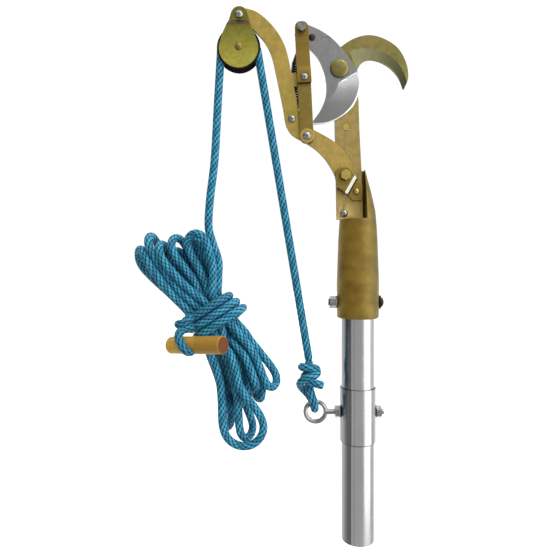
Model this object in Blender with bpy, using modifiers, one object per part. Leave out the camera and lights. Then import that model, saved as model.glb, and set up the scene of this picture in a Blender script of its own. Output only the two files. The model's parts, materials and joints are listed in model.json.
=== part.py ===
"""Rope-operated tree pruner head on a short aluminium pole, with its pull rope.

The pole stands on Z, its lower end at the origin. X runs to the right of the head and
the working face looks toward -Y. Every linkage pivot has its axis along Y.
"""

import math

import bmesh
import bpy
import numpy as np
from mathutils import Matrix, Vector

MM = 0.001
GAP = 0.3 * MM

# Pole and coupling
TUBE_R = 19.05 * MM
TUBE_WALL = 2.0 * MM
TUBE_SPLIT_Z = 127.0 * MM
UPPER_TUBE_TOP_Z = 330.0 * MM
SLEEVE_R = 20.8 * MM
SLEEVE_Z = (114.7 * MM, 176.7 * MM)
EYE_Z = 148.0 * MM
EYE_RING_X = -49.4 * MM
EYE_RING_R = 11.8 * MM
EYE_WIRE_R = 2.8 * MM
EYE_SHANK_R = 3.1 * MM

# Cast socket
CAST_BOTTOM_Z = 257.4 * MM
CAST_SHOULDER_Z = 372.0 * MM
CAST_TOP_Z = 430.0 * MM
CAST_R = 24.3 * MM
CLAMP_Z = 276.1 * MM
CLAMP_SHANK_R = 4.0 * MM
SLOT_X = 7.6 * MM

# Linkage: an exact parallelogram of four pivots
LEVER_PIVOT = (-16.2 * MM, 421.9 * MM)
CRANK = (-43.9 * MM, 45.3 * MM)
COUPLER = (-6.2 * MM, 124.3 * MM)
LINK_PIVOT = (LEVER_PIVOT[0] + CRANK[0], LEVER_PIVOT[1] + CRANK[1])
BLADE_PIVOT = (LEVER_PIVOT[0] + COUPLER[0], LEVER_PIVOT[1] + COUPLER[1])
TAIL_PIVOT = (LINK_PIVOT[0] + COUPLER[0], LINK_PIVOT[1] + COUPLER[1])
SPRING_ANCHOR = (-77.3 * MM, 488.1 * MM)
BLOCK_PIN = (-138.0 * MM, 607.5 * MM)
SHEAVE_CENTRE = (-138.5 * MM, 568.6 * MM)

# Plates, front to back
HOOK_T = 6.0 * MM
PLATE_T = 4.0 * MM
STRAP_T = 3.0 * MM
CHEEK_T = 2.0 * MM
HOOK_FRONT_Y = -HOOK_T / 2
PLATE_Y = HOOK_FRONT_Y - GAP - PLATE_T / 2
STRAP_Y = PLATE_Y - PLATE_T / 2 - GAP - STRAP_T / 2
RAISED_STRAP_Y = STRAP_Y - STRAP_T - GAP
FOOT_Y = HOOK_FRONT_Y - GAP - STRAP_T / 2
LEVER_END_R = 11.2 * MM

# Pulley
SHEAVE_R = 25.0 * MM
SHEAVE_W = 12.6 * MM
ROPE_PITCH_R = 21.0 * MM
CHEEK_Y = SHEAVE_W / 2 + 0.5 * MM + CHEEK_T / 2
CHEEK_PIN_Y = PLATE_T / 2 + GAP + CHEEK_T / 2

# Spring
SPRING_Y = 4.7 * MM
SPRING_R = 6.2 * MM
SPRING_WIRE_R = 1.1 * MM
SPRING_TURNS = 15

# Rope
ROPE_R = 4.75 * MM
RUN_FOOT = (-57.0 * MM, 208.0 * MM)
HANK_Y = -5.3 * MM
HANK_T = 46.0 * MM
TOGGLE_R = 9.6 * MM
TOGGLE_AT = (-187.0 * MM, -41.0 * MM)
TOGGLE_LEFT = 30.7 * MM
TOGGLE_RIGHT = 43.6 * MM
TOGGLE_YAW = math.radians(-32.0)
TOGGLE_TILT = math.radians(4.5)
TOGGLE_Z = 231.8 * MM

# Finishes: colour, roughness, metallic
ZINC = ((0.42, 0.34, 0.10, 1.0), 0.35, 0.9)
ZINC_BROWN = ((0.30, 0.20, 0.06, 1.0), 0.4, 0.9)
CAST_PAINT = ((0.20, 0.155, 0.03, 1.0), 0.45, 0.3)
BLADE_STEEL = ((0.26, 0.26, 0.27, 1.0), 0.3, 0.9)
BRIGHT = ((0.62, 0.62, 0.64, 1.0), 0.25, 1.0)
ALUMINIUM = ((0.58, 0.58, 0.59, 1.0), 0.4, 1.0)
BLACKENED = ((0.03, 0.025, 0.025, 1.0), 0.5, 0.5)
SHEAVE_BLACK = ((0.015, 0.015, 0.015, 1.0), 0.4, 0.0)
ROPE_BLUE = ((0.02, 0.19, 0.42, 1.0), 0.8, 0.0)
WOOD = ((0.52, 0.30, 0.06, 1.0), 0.6, 0.0)

ALONG_Y = Matrix.Rotation(math.pi / 2, 4, "X")
ALONG_X = Matrix.Rotation(math.pi / 2, 4, "Y")


def clear_scene():
    for obj in list(bpy.data.objects):
        bpy.data.objects.remove(obj, do_unlink=True)


clear_scene()
PARTS = bpy.data.collections.new("tree_pruner_head")
CUTTERS = bpy.data.collections.new("cutters")
bpy.context.scene.collection.children.link(PARTS)
bpy.context.scene.collection.children.link(CUTTERS)


# ---------------------------------------------------------------- helpers

def at(point, y=0.0):
    """World position of an (x, z) point at depth y."""
    return Vector((point[0], y, point[1]))


def place(obj, collection):
    for other in list(obj.users_collection):
        other.objects.unlink(obj)
    collection.objects.link(obj)


def finish(obj, name, look):
    """Name the piece, give it its own material and put it with the parts."""
    colour, roughness, metallic = look
    obj.name = name
    obj.data.name = name
    material = bpy.data.materials.new(name + "_finish")
    material.use_nodes = True
    shader = material.node_tree.nodes["Principled BSDF"]
    shader.inputs["Base Color"].default_value = colour
    shader.inputs["Roughness"].default_value = roughness
    shader.inputs["Metallic"].default_value = metallic
    material.diffuse_color = colour
    obj.data.materials.clear()
    obj.data.materials.append(material)
    place(obj, PARTS)
    return obj


def smooth_round(obj):
    obj.data.shade_smooth()
    obj.data.set_sharp_from_angle(angle=math.radians(35))


def as_cutter(obj):
    obj.hide_render = True
    obj.display_type = "WIRE"
    place(obj, CUTTERS)
    return obj


def boolean(obj, other, operation):
    modifier = obj.modifiers.new(operation.lower() + "_" + other.name, "BOOLEAN")
    modifier.operation = operation
    modifier.solver = "EXACT"
    modifier.object = other


def cylinder(radius, start, end, sides=20):
    """A capped cylinder, or prism, between two points."""
    start = Vector(start)
    end = Vector(end)
    middle = (start + end) / 2
    turn = (end - start).to_track_quat("Z", "Y").to_euler()
    bpy.ops.mesh.primitive_cylinder_add(
        vertices=sides, radius=radius, depth=(end - start).length, location=middle, rotation=turn
    )
    return bpy.context.object


def drill(obj, radius, start, end, sides=20):
    boolean(obj, as_cutter(cylinder(radius, start, end, sides)), "DIFFERENCE")


def drill_y(obj, point, radius, sides=20):
    """A round hole right through a piece, along Y."""
    drill(obj, radius, at(point, -60 * MM), at(point, 60 * MM), sides)


def box(low, high):
    low = Vector(low)
    high = Vector(high)
    bpy.ops.mesh.primitive_cube_add(size=1.0, location=(low + high) / 2)
    obj = bpy.context.object
    obj.scale = high - low
    bpy.ops.object.transform_apply(location=False, rotation=False, scale=True)
    return obj


def turned(profile, matrix, steps=40, closed=False):
    """A body turned about its local Z from (radius, height) points, top to bottom."""
    mesh = bpy.data.meshes.new("profile")
    points = [(r, 0.0, z) for r, z in profile]
    edges = [(i, i + 1) for i in range(len(points) - 1)]
    if closed:
        edges.append((len(points) - 1, 0))
    mesh.from_pydata(points, edges, [])
    obj = bpy.data.objects.new("turned", mesh)
    PARTS.objects.link(obj)
    obj.matrix_world = matrix
    screw = obj.modifiers.new("turn", "SCREW")
    screw.axis = "Z"
    screw.steps = steps
    screw.render_steps = steps
    screw.use_merge_vertices = True
    screw.merge_threshold = 0.00001
    screw.use_smooth_shade = True
    return obj


def tube(outer, inner, z_low, z_high):
    """A straight round tube about the pole's axis."""
    profile = [(outer, z_high), (outer, z_low), (inner, z_low), (inner, z_high)]
    return turned(profile, Matrix(), 48, closed=True)


def arc(centre, radius, start, end, steps):
    """Points on an arc, angles in degrees, anticlockwise when end is larger."""
    angles = np.radians(np.linspace(start, end, steps + 1))
    return [(centre[0] + radius * math.cos(a), centre[1] + radius * math.sin(a)) for a in angles]


def curve_through(points, per_span=4):
    """A smooth open run through a few (x, z) points given in millimetres."""
    p = [np.array(q, float) * MM for q in points]
    p = [2 * p[0] - p[1]] + p + [2 * p[-1] - p[-2]]
    run = []
    for i in range(1, len(p) - 2):
        for step in range(per_span):
            t = step / per_span
            a = 2 * p[i]
            b = (p[i + 1] - p[i - 1]) * t
            c = (2 * p[i - 1] - 5 * p[i] + 4 * p[i + 1] - p[i + 2]) * t * t
            d = (3 * p[i] - p[i - 1] - 3 * p[i + 1] + p[i + 2]) * t ** 3
            run.append(tuple((a + b + c + d) / 2))
    run.append(tuple(p[-2]))
    return run


def corners(points, per_corner=4):
    """A straight-sided outline from (x, z, corner radius) in millimetres."""
    outline = []
    count = len(points)
    for i, (x, z, r) in enumerate(points):
        here = Vector((x, z))
        before = (Vector(points[i - 1][:2]) - here).normalized()
        after = (Vector(points[(i + 1) % count][:2]) - here).normalized()
        if r == 0:
            outline.append((x * MM, z * MM))
            continue
        half = before.angle(after) / 2
        reach = r / math.tan(half)
        centre = here + (before + after).normalized() * (r / math.sin(half))
        first = here + before * reach - centre
        last = here + after * reach - centre
        turn = first.angle_signed(last)
        for step in range(per_corner + 1):
            spoke = first.copy()
            spoke.rotate(Matrix.Rotation(-turn * step / per_corner, 2))
            outline.append(((centre.x + spoke.x) * MM, (centre.y + spoke.y) * MM))
    return outline


def to_mesh(curve_obj):
    """The same body as a mesh, with its loose caps welded on."""
    graph = bpy.context.evaluated_depsgraph_get()
    mesh = bpy.data.meshes.new_from_object(curve_obj.evaluated_get(graph))
    shape = bmesh.new()
    shape.from_mesh(mesh)
    bmesh.ops.remove_doubles(shape, verts=shape.verts, dist=0.00001)
    bmesh.ops.recalc_face_normals(shape, faces=shape.faces)
    shape.to_mesh(mesh)
    shape.free()
    obj = bpy.data.objects.new(curve_obj.name + "_mesh", mesh)
    PARTS.objects.link(obj)
    obj.matrix_world = curve_obj.matrix_world
    bpy.data.objects.remove(curve_obj, do_unlink=True)
    return obj


def plate(outline, thickness, y_mid):
    """A flat plate in the XZ plane, from a closed (x, z) outline."""
    data = bpy.data.curves.new("outline", "CURVE")
    data.dimensions = "2D"
    data.fill_mode = "BOTH"
    data.extrude = thickness / 2
    spline = data.splines.new("POLY")
    spline.points.add(len(outline) - 1)
    for point, (x, z) in zip(spline.points, outline):
        point.co = (x, z, 0.0, 1.0)
    spline.use_cyclic_u = True
    obj = bpy.data.objects.new("plate", data)
    PARTS.objects.link(obj)
    obj.matrix_world = Matrix.Translation((0.0, y_mid, 0.0)) @ ALONG_Y
    bpy.context.view_layer.update()
    return to_mesh(obj)


def joggle(obj, start, end, offset):
    """Step a flat plate in depth: nothing before start, all of offset after end."""
    first = Vector((start[0] * MM, start[1] * MM))
    last = Vector((end[0] * MM, end[1] * MM))
    along = (last - first).normalized()
    length = (last - first).length
    shape = bmesh.new()
    shape.from_mesh(obj.data)
    for point in (first, last):
        geometry = list(shape.verts) + list(shape.edges) + list(shape.faces)
        bmesh.ops.bisect_plane(
            shape,
            geom=geometry,
            dist=0.000001,
            plane_co=(point.x, point.y, 0.0),
            plane_no=(along.x, along.y, 0.0),
        )
    for vert in shape.verts:
        share = (Vector((vert.co.x, vert.co.y)) - first).dot(along) / length
        # The plate's local Z is world -Y.
        vert.co.z -= offset * min(max(share, 0.0), 1.0)
    shape.to_mesh(obj.data)
    shape.free()


def wire(points, radius, resolution=2, closed=False):
    """A round wire or rope through 3-D points."""
    data = bpy.data.curves.new("wire", "CURVE")
    data.dimensions = "3D"
    data.bevel_depth = radius
    data.bevel_resolution = resolution
    data.use_fill_caps = True
    data.twist_mode = "MINIMUM"
    spline = data.splines.new("POLY")
    spline.points.add(len(points) - 1)
    for point, co in zip(spline.points, points):
        point.co = (co[0], co[1], co[2], 1.0)
    spline.use_cyclic_u = closed
    obj = bpy.data.objects.new("wire", data)
    PARTS.objects.link(obj)
    bpy.context.view_layer.update()
    return to_mesh(obj)


def joined(base, *others):
    """One body from overlapping solids."""
    for other in others:
        boolean(base, as_cutter(other), "UNION")
    return base


def dome_profile(head_r, head_h, shank_r, length):
    """Turned profile of a domed head standing on a round shank, top first."""
    dome = [(head_r * math.sin(a), head_h * math.cos(a)) for a in np.linspace(0, math.pi / 2, 6)]
    return dome + [(shank_r, 0.0), (shank_r, -length), (0.0, -length)]


def dome_bolt(name, look, point, y_seat, head_r, head_h, shank_r, length):
    """Domed bolt or rivet in the front, its head seated at y_seat."""
    profile = dome_profile(head_r, head_h, shank_r, length)
    return finish(turned(profile, Matrix.Translation(at(point, y_seat)) @ ALONG_Y, 20), name, look)


def hex_bolt(name, look, point, y_seat, across, head_h, shank_r, length):
    """Hexagon-head bolt, its head seated at y_seat and its shank running to the back."""
    head = cylinder(across / math.sqrt(3), at(point, y_seat - head_h), at(point, y_seat), 6)
    shank = cylinder(shank_r, at(point, y_seat - head_h / 2), at(point, y_seat + length), 16)
    return finish(joined(head, shank), name, look)


def hex_nut(name, look, start, end, across, bore_r):
    """Hexagon nut between two points on its bolt's axis."""
    nut = cylinder(across / math.sqrt(3), start, end, 6)
    step = (Vector(end) - Vector(start)).normalized() * 5 * MM
    drill(nut, bore_r, Vector(start) - step, Vector(end) + step, 16)
    return finish(nut, name, look)


def ring_y(point, y_low, y_high, outer, inner, steps=24):
    """A washer or bush about an axis along Y."""
    half = (y_high - y_low) / 2
    profile = [(outer, half), (outer, -half), (inner, -half), (inner, half)]
    matrix = Matrix.Translation(at(point, (y_low + y_high) / 2)) @ ALONG_Y
    return turned(profile, matrix, steps, closed=True)


def axis_empty(name, point, y=0.0):
    empty = bpy.data.objects.new(name, None)
    empty.location = at(point, y)
    empty.empty_display_size = 0.02
    PARTS.objects.link(empty)
    return empty


def hang_on(empty, pieces):
    """Parent pieces to a joint's empty without moving them."""
    bpy.context.view_layer.update()
    for piece in pieces:
        piece.parent = empty
        piece.matrix_parent_inverse = empty.matrix_world.inverted()


# ---------------------------------------------------------------- pole

def build_pole():
    bore = TUBE_R - TUBE_WALL
    lower = tube(TUBE_R, bore, 0.0, TUBE_SPLIT_Z)
    upper = tube(TUBE_R, bore, TUBE_SPLIT_Z + GAP, UPPER_TUBE_TOP_Z)
    sleeve = tube(SLEEVE_R, TUBE_R + GAP, SLEEVE_Z[0], SLEEVE_Z[1])
    reach = 40 * MM
    for piece in (upper, sleeve):
        drill(piece, EYE_SHANK_R + GAP, (-reach, 0, EYE_Z), (reach, 0, EYE_Z), 16)
    drill(upper, CLAMP_SHANK_R + GAP, (-reach, 0, CLAMP_Z), (reach, 0, CLAMP_Z), 16)
    finish(lower, "lower_tube", ALUMINIUM)
    finish(upper, "upper_tube", ALUMINIUM)
    finish(sleeve, "coupling_sleeve", ALUMINIUM)

    ring_points = [
        (EYE_RING_X + x, 0.0, EYE_Z + z) for x, z in arc((0, 0), EYE_RING_R, 0, 345, 23)
    ]
    ring = wire(ring_points, EYE_WIRE_R, 2, closed=True)
    neck = EYE_RING_X + EYE_RING_R - EYE_WIRE_R * 0.4
    shank = cylinder(EYE_SHANK_R, (neck, 0, EYE_Z), (30.2 * MM, 0, EYE_Z), 16)
    finish(joined(ring, shank), "eye_bolt", BRIGHT)
    for name, x in (("eye_nut_near", -27.0 * MM), ("eye_nut_far", SLEEVE_R + GAP)):
        start = (x, 0, EYE_Z)
        end = (x + 5.9 * MM, 0, EYE_Z)
        hex_nut(name, BRIGHT, start, end, 12.7 * MM, EYE_SHANK_R + GAP)


def build_casting():
    """Cast socket that grips the tube, with a saddle and a side rib behind the hook's shank."""
    outer = [
        (0.0, CAST_TOP_Z),
        (8.6 * MM, CAST_TOP_Z),
        (10.9 * MM, 421.0 * MM),
        (14.4 * MM, 408.0 * MM),
        (17.9 * MM, 393.0 * MM),
        (20.3 * MM, 381.0 * MM),
        (21.6 * MM, 366.0 * MM),
        (22.7 * MM, 348.0 * MM),
        (CAST_R, 300.0 * MM),
        (CAST_R, CAST_BOTTOM_Z + 2.5 * MM),
        (CAST_R - 0.8 * MM, CAST_BOTTOM_Z + 0.7 * MM),
        (CAST_R - 2.2 * MM, CAST_BOTTOM_Z),
    ]
    bore_r = TUBE_R + GAP
    bore_top = UPPER_TUBE_TOP_Z + 1 * MM
    bore = [(bore_r, CAST_BOTTOM_Z), (bore_r, bore_top), (0.0, bore_top)]
    body = turned(outer + bore, Matrix(), 48)
    front = box((-40 * MM, -40 * MM, CAST_SHOULDER_Z), (SLOT_X, HOOK_T / 2 + GAP, 450 * MM))
    boolean(body, as_cutter(front), "DIFFERENCE")
    reach = 40 * MM
    drill(body, CLAMP_SHANK_R + GAP, (-reach, 0, CLAMP_Z), (reach, 0, CLAMP_Z), 16)
    bolt = (-16.5 * MM, 379.5 * MM)
    drill(body, 3.5 * MM, at(bolt, 0.0), at(bolt, reach), 16)
    drill(body, 8.0 * MM, at(bolt, 9.0 * MM), at(bolt, reach), 20)
    drill(body, 8.5 * MM, at(LEVER_PIVOT, 0.0), at(LEVER_PIVOT, reach), 24)
    finish(body, "head_casting", CAST_PAINT)

    dome = [(6.0 * MM * math.sin(a), 3.6 * MM * math.cos(a)) for a in np.linspace(0, math.pi / 2, 6)]
    end = -61.0 * MM
    profile = dome + [(CLAMP_SHANK_R, 0.0), (CLAMP_SHANK_R, end), (0.0, end)]
    seat = Matrix.Translation((CAST_R + 2.4 * MM, 0, CLAMP_Z)) @ ALONG_X
    finish(turned(profile, seat, 20), "clamp_bolt", BLACKENED)
    half = 0.9 * MM
    washer = [(8.0 * MM, half), (8.0 * MM, -half)]
    washer += [(CLAMP_SHANK_R + GAP, -half), (CLAMP_SHANK_R + GAP, half)]
    seat = Matrix.Translation((CAST_R + GAP + half, 0, CLAMP_Z)) @ ALONG_X
    finish(turned(washer, seat, 24, closed=True), "clamp_washer", BLACKENED)
    hex_nut(
        "clamp_nut",
        BRIGHT,
        (-33.2 * MM, 0, CLAMP_Z),
        (-CAST_R - GAP, 0, CLAMP_Z),
        12.9 * MM,
        CLAMP_SHANK_R + GAP,
    )


def build_hook():
    """The hook and its shank are one flat plate."""
    back = [(-27.0, 487.0), (-30.0, 512.0), (-36.5, 531.0), (-37.5, 548.0), (-31.0, 563.5)]
    crown = [(-18.8, 574.3), (-3.7, 583.4), (13.7, 587.0), (31.2, 582.3), (46.3, 571.8)]
    point = [(55.6, 555.6), (58.4, 538.0), (53.9, 524.9)]
    outline = curve_through(back + crown + point, 4)
    throat = [(53.2, 525.6), (47.5, 539.3), (37.0, 550.9), (24.2, 557.9), (12.0, 559.7)]
    throat += [(3.6, 555.0), (-0.8, 545.0), (-0.6, 527.0), (0.4, 511.3)]
    outline += curve_through(throat, 4)
    for x, z in ((1.5, 476.4), (3.9, 429.9), (5.6, 372.3), (-24.7, 372.3)):
        outline.append((x * MM, z * MM))
    hook = plate(outline, HOOK_T, 0.0)
    drill_y(hook, BLADE_PIVOT, 5.3 * MM)
    drill_y(hook, LEVER_PIVOT, 4.3 * MM)
    drill_y(hook, (-14.2 * MM, 480.0 * MM), 4.7 * MM)
    drill_y(hook, (-2.6 * MM, 404.2 * MM), 2.5 * MM)
    drill_y(hook, (-16.5 * MM, 379.5 * MM), 3.5 * MM)
    finish(hook, "hook_plate", ZINC)

    flush = cylinder(
        4.4 * MM,
        at((-14.2 * MM, 480.0 * MM), HOOK_FRONT_Y),
        at((-14.2 * MM, 480.0 * MM), -HOOK_FRONT_Y),
    )
    finish(flush, "shank_rivet", ZINC)

    bolt = (-16.5 * MM, 379.5 * MM)
    dome_bolt(
        "shank_bolt", BRIGHT, bolt, HOOK_FRONT_Y - GAP, 4.7 * MM, 3.2 * MM, 3.2 * MM, 18.0 * MM
    )
    hex_nut(
        "shank_nut", BRIGHT, at(bolt, 9.3 * MM), at(bolt, 14.0 * MM), 10.0 * MM, 3.5 * MM
    )

    # Bolt support: one strap end over the lever's end, the other down on the shank.
    support = corners(
        [
            (-26.9, 431.5, 6.0),
            (-12.5, 431.0, 4.0),
            (-1.5, 417.5, 2.0),
            (4.4, 411.5, 2.0),
            (4.4, 394.0, 1.5),
            (-7.0, 394.0, 3.0),
            (-14.0, 401.0, 2.0),
            (-26.9, 410.0, 2.0),
        ]
    )
    strap = plate(support, STRAP_T, STRAP_Y)
    joggle(strap, (-6.0, 413.6), (-4.4, 412.7), FOOT_Y - STRAP_Y)
    drill_y(strap, LEVER_PIVOT, 4.3 * MM)
    drill_y(strap, (-2.6 * MM, 404.2 * MM), 2.5 * MM)
    finish(strap, "bolt_support_strap", ZINC_BROWN)
    seat = FOOT_Y - STRAP_T / 2 - GAP
    rivet = (-2.6 * MM, 404.2 * MM)
    dome_bolt("strap_rivet", ZINC, rivet, seat, 4.0 * MM, 2.2 * MM, 2.2 * MM, 9.0 * MM)

    seat = STRAP_Y - STRAP_T / 2 - GAP
    hex_bolt("lever_bolt", ZINC, LEVER_PIVOT, seat, 11.1 * MM, 4.5 * MM, 4.0 * MM, 22.0 * MM)
    hex_nut(
        "lever_nut",
        ZINC,
        at(LEVER_PIVOT, HOOK_T / 2 + GAP),
        at(LEVER_PIVOT, HOOK_T / 2 + 6.5 * MM),
        12.7 * MM,
        4.3 * MM,
    )


# ---------------------------------------------------------------- linkage

def build_blade():
    """Curved cutting blade with its tail running up to the link."""
    heel = arc(TAIL_PIVOT, 7.4 * MM, 160, 75, 5)
    outer = [(-57.5, 596.3), (-42.5, 589.3), (-27.5, 578.0), (-13.5, 561.0), (-3.0, 545.0)]
    edge = [(0.6, 534.0), (0.6, 521.0), (-4.4, 506.6), (-14.0, 496.0), (-26.0, 488.0)]
    tip = [(-38.0, 483.4), (-52.0, 481.6)]
    inner = [(-52.6, 486.5), (-44.0, 498.5), (-38.6, 512.0), (-37.2, 525.0), (-39.6, 541.0)]
    inner += [(-46.6, 557.5), (-57.0, 569.5), (-68.0, 579.0)]
    outline = heel + curve_through(outer + edge + tip, 4) + curve_through(inner, 4)
    blade = plate(outline, PLATE_T, PLATE_Y)
    drill_y(blade, BLADE_PIVOT, 5.3 * MM)
    drill_y(blade, TAIL_PIVOT, 3.5 * MM)
    drill_y(blade, (-54.1 * MM, 582.1 * MM), 2.3 * MM)
    finish(blade, "cutting_blade", BLADE_STEEL)

    front = PLATE_Y - PLATE_T / 2 - GAP
    stud = (-54.1 * MM, 582.1 * MM)
    dome_bolt("blade_stud", BLACKENED, stud, front, 4.0 * MM, 1.6 * MM, 2.0 * MM, 4.2 * MM)

    profile = [(0.0, 2.6 * MM), (7.5 * MM, 2.4 * MM), (9.8 * MM, 1.7 * MM), (10.8 * MM, 0.6 * MM)]
    profile += [(10.8 * MM, 0.0), (5.0 * MM, 0.0), (5.0 * MM, -19.0 * MM), (0.0, -19.0 * MM)]
    seat = Matrix.Translation(at(BLADE_PIVOT, front)) @ ALONG_Y
    finish(turned(profile, seat, 28), "blade_pivot_bolt", ZINC)
    hex_nut(
        "blade_pivot_nut",
        ZINC,
        at(BLADE_PIVOT, HOOK_T / 2 + GAP),
        at(BLADE_PIVOT, HOOK_T / 2 + 7.0 * MM),
        17.0 * MM,
        5.3 * MM,
    )
    return [bpy.data.objects["cutting_blade"], bpy.data.objects["blade_stud"]]


def build_lever():
    """Side lever: goose-necked upper arm, stop tab and lower arm, one plate."""
    pin_end = arc(BLOCK_PIN, 8.6 * MM, 250, 90, 8)
    upper = [(-128.0, 615.2), (-117.5, 611.2), (-104.9, 601.1), (-93.3, 587.2), (-85.0, 571.0)]
    upper += [(-80.4, 554.0), (-78.0, 541.0)]
    outline = pin_end + curve_through(upper, 4)
    tab = ((-64.5, 540.0), (-64.5, 526.5), (-74.9, 525.0), (-68.2, 490.5))
    outline += [(x * MM, z * MM) for x, z in tab]
    elbow = [(-64.0, 481.5), (-53.0, 475.6), (-39.0, 468.3), (-27.5, 460.8), (-15.9, 449.8)]
    elbow += [(-8.6, 437.0)]
    outline += curve_through(elbow, 4)
    outline += arc(LEVER_PIVOT, LEVER_END_R, 40, -180, 12)
    under = [(-30.2, 428.0), (-39.0, 441.7), (-50.6, 453.2), (-63.3, 461.3), (-77.2, 469.6)]
    under += [(-84.5, 482.1), (-88.0, 502.0), (-96.8, 544.5), (-101.6, 563.0)]
    under += [(-109.5, 578.0), (-121.1, 590.4), (-131.0, 598.2)]
    outline += curve_through(under, 4)
    lever = plate(outline, PLATE_T, PLATE_Y)
    drill_y(lever, LEVER_PIVOT, 4.3 * MM)
    drill_y(lever, LINK_PIVOT, 3.5 * MM)
    drill_y(lever, SPRING_ANCHOR, 2.8 * MM)
    drill_y(lever, BLOCK_PIN, 3.3 * MM)
    finish(lever, "side_lever", ZINC)

    front = PLATE_Y - PLATE_T / 2 - GAP
    back = PLATE_Y + PLATE_T / 2 + GAP
    dome_bolt("anchor_bolt", BRIGHT, SPRING_ANCHOR, front, 4.4 * MM, 2.6 * MM, 2.5 * MM, 21 * MM)
    bush = ring_y(SPRING_ANCHOR, back, back + 11.0 * MM, 3.9 * MM, 2.8 * MM)
    finish(bush, "anchor_bush", BLACKENED)
    hex_nut(
        "anchor_nut",
        BLACKENED,
        at(SPRING_ANCHOR, back + 11.3 * MM),
        at(SPRING_ANCHOR, back + 15.5 * MM),
        13.0 * MM,
        2.8 * MM,
    )
    names = ("side_lever", "anchor_bolt", "anchor_bush", "anchor_nut")
    return [bpy.data.objects[name] for name in names]


def build_link():
    """Two lapped straps that tie the blade's tail to the lever."""
    tilt = math.atan2(COUPLER[0], COUPLER[1])

    def along(distance, offset, radius):
        """Corner at a distance up the link from its lever pivot, in millimetres."""
        x = LINK_PIVOT[0] / MM + distance * math.sin(tilt) + offset * math.cos(tilt)
        z = LINK_PIVOT[1] / MM + distance * math.cos(tilt) - offset * math.sin(tilt)
        return (x, z, radius)

    length = math.hypot(COUPLER[0], COUPLER[1]) / MM
    lap_low, lap_high = 60.5, 76.0
    screw_at = along(67.0, 0.3, 0)
    lower = plate(
        corners(
            [
                along(-8.2, -7.7, 6.0),
                along(lap_high - 3.0, -7.7, 1.0),
                along(lap_high - 3.0, 7.7, 1.0),
                along(-8.2, 7.7, 6.0),
            ]
        ),
        STRAP_T,
        STRAP_Y,
    )
    upper = plate(
        corners(
            [
                along(lap_low, -8.2, 1.0),
                along(length + 7.8, -7.6, 6.5),
                along(length + 7.8, 7.6, 6.5),
                along(lap_low, 8.2, 1.0),
            ]
        ),
        STRAP_T,
        STRAP_Y,
    )
    joggle(upper, along(82.0, 0, 0)[:2], along(lap_high, 0, 0)[:2], RAISED_STRAP_Y - STRAP_Y)
    screw = (screw_at[0] * MM, screw_at[1] * MM)
    drill_y(lower, LINK_PIVOT, 3.5 * MM)
    drill_y(lower, screw, 2.8 * MM)
    drill_y(upper, TAIL_PIVOT, 3.5 * MM)
    drill_y(upper, screw, 2.8 * MM)
    finish(lower, "link_lower_strap", ZINC_BROWN)
    finish(upper, "link_upper_strap", ZINC_BROWN)
    seat = RAISED_STRAP_Y - STRAP_T / 2 - GAP
    dome_bolt("link_screw", BRIGHT, screw, seat, 3.9 * MM, 2.2 * MM, 2.5 * MM, 6.6 * MM)

    seat = STRAP_Y - STRAP_T / 2 - GAP
    back = PLATE_Y + PLATE_T / 2 + GAP
    washer_t = 1.4 * MM
    washer = ring_y(LINK_PIVOT, seat - washer_t, seat, 8.4 * MM, 3.5 * MM)
    finish(washer, "link_washer", ZINC)
    dome_bolt(
        "link_bolt",
        BRIGHT,
        LINK_PIVOT,
        seat - washer_t - GAP,
        4.7 * MM,
        3.4 * MM,
        3.2 * MM,
        16 * MM,
    )
    hex_nut(
        "link_nut",
        ZINC,
        at(LINK_PIVOT, back),
        at(LINK_PIVOT, back + 4.5 * MM),
        10.0 * MM,
        3.5 * MM,
    )
    hex_bolt("tail_bolt", BRIGHT, TAIL_PIVOT, seat, 9.6 * MM, 4.0 * MM, 3.2 * MM, 25.5 * MM)
    bush = ring_y(TAIL_PIVOT, back, back + 10.5 * MM, 4.6 * MM, 3.5 * MM)
    finish(bush, "tail_bush", ZINC)
    hex_nut(
        "tail_nut",
        ZINC,
        at(TAIL_PIVOT, back + 10.8 * MM),
        at(TAIL_PIVOT, back + 15.5 * MM),
        13.0 * MM,
        3.5 * MM,
    )
    names = ("link_lower_strap", "link_upper_strap", "link_screw", "link_washer", "link_bolt")
    names += ("link_nut", "tail_bolt", "tail_bush", "tail_nut")
    return [bpy.data.objects[name] for name in names]


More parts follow.
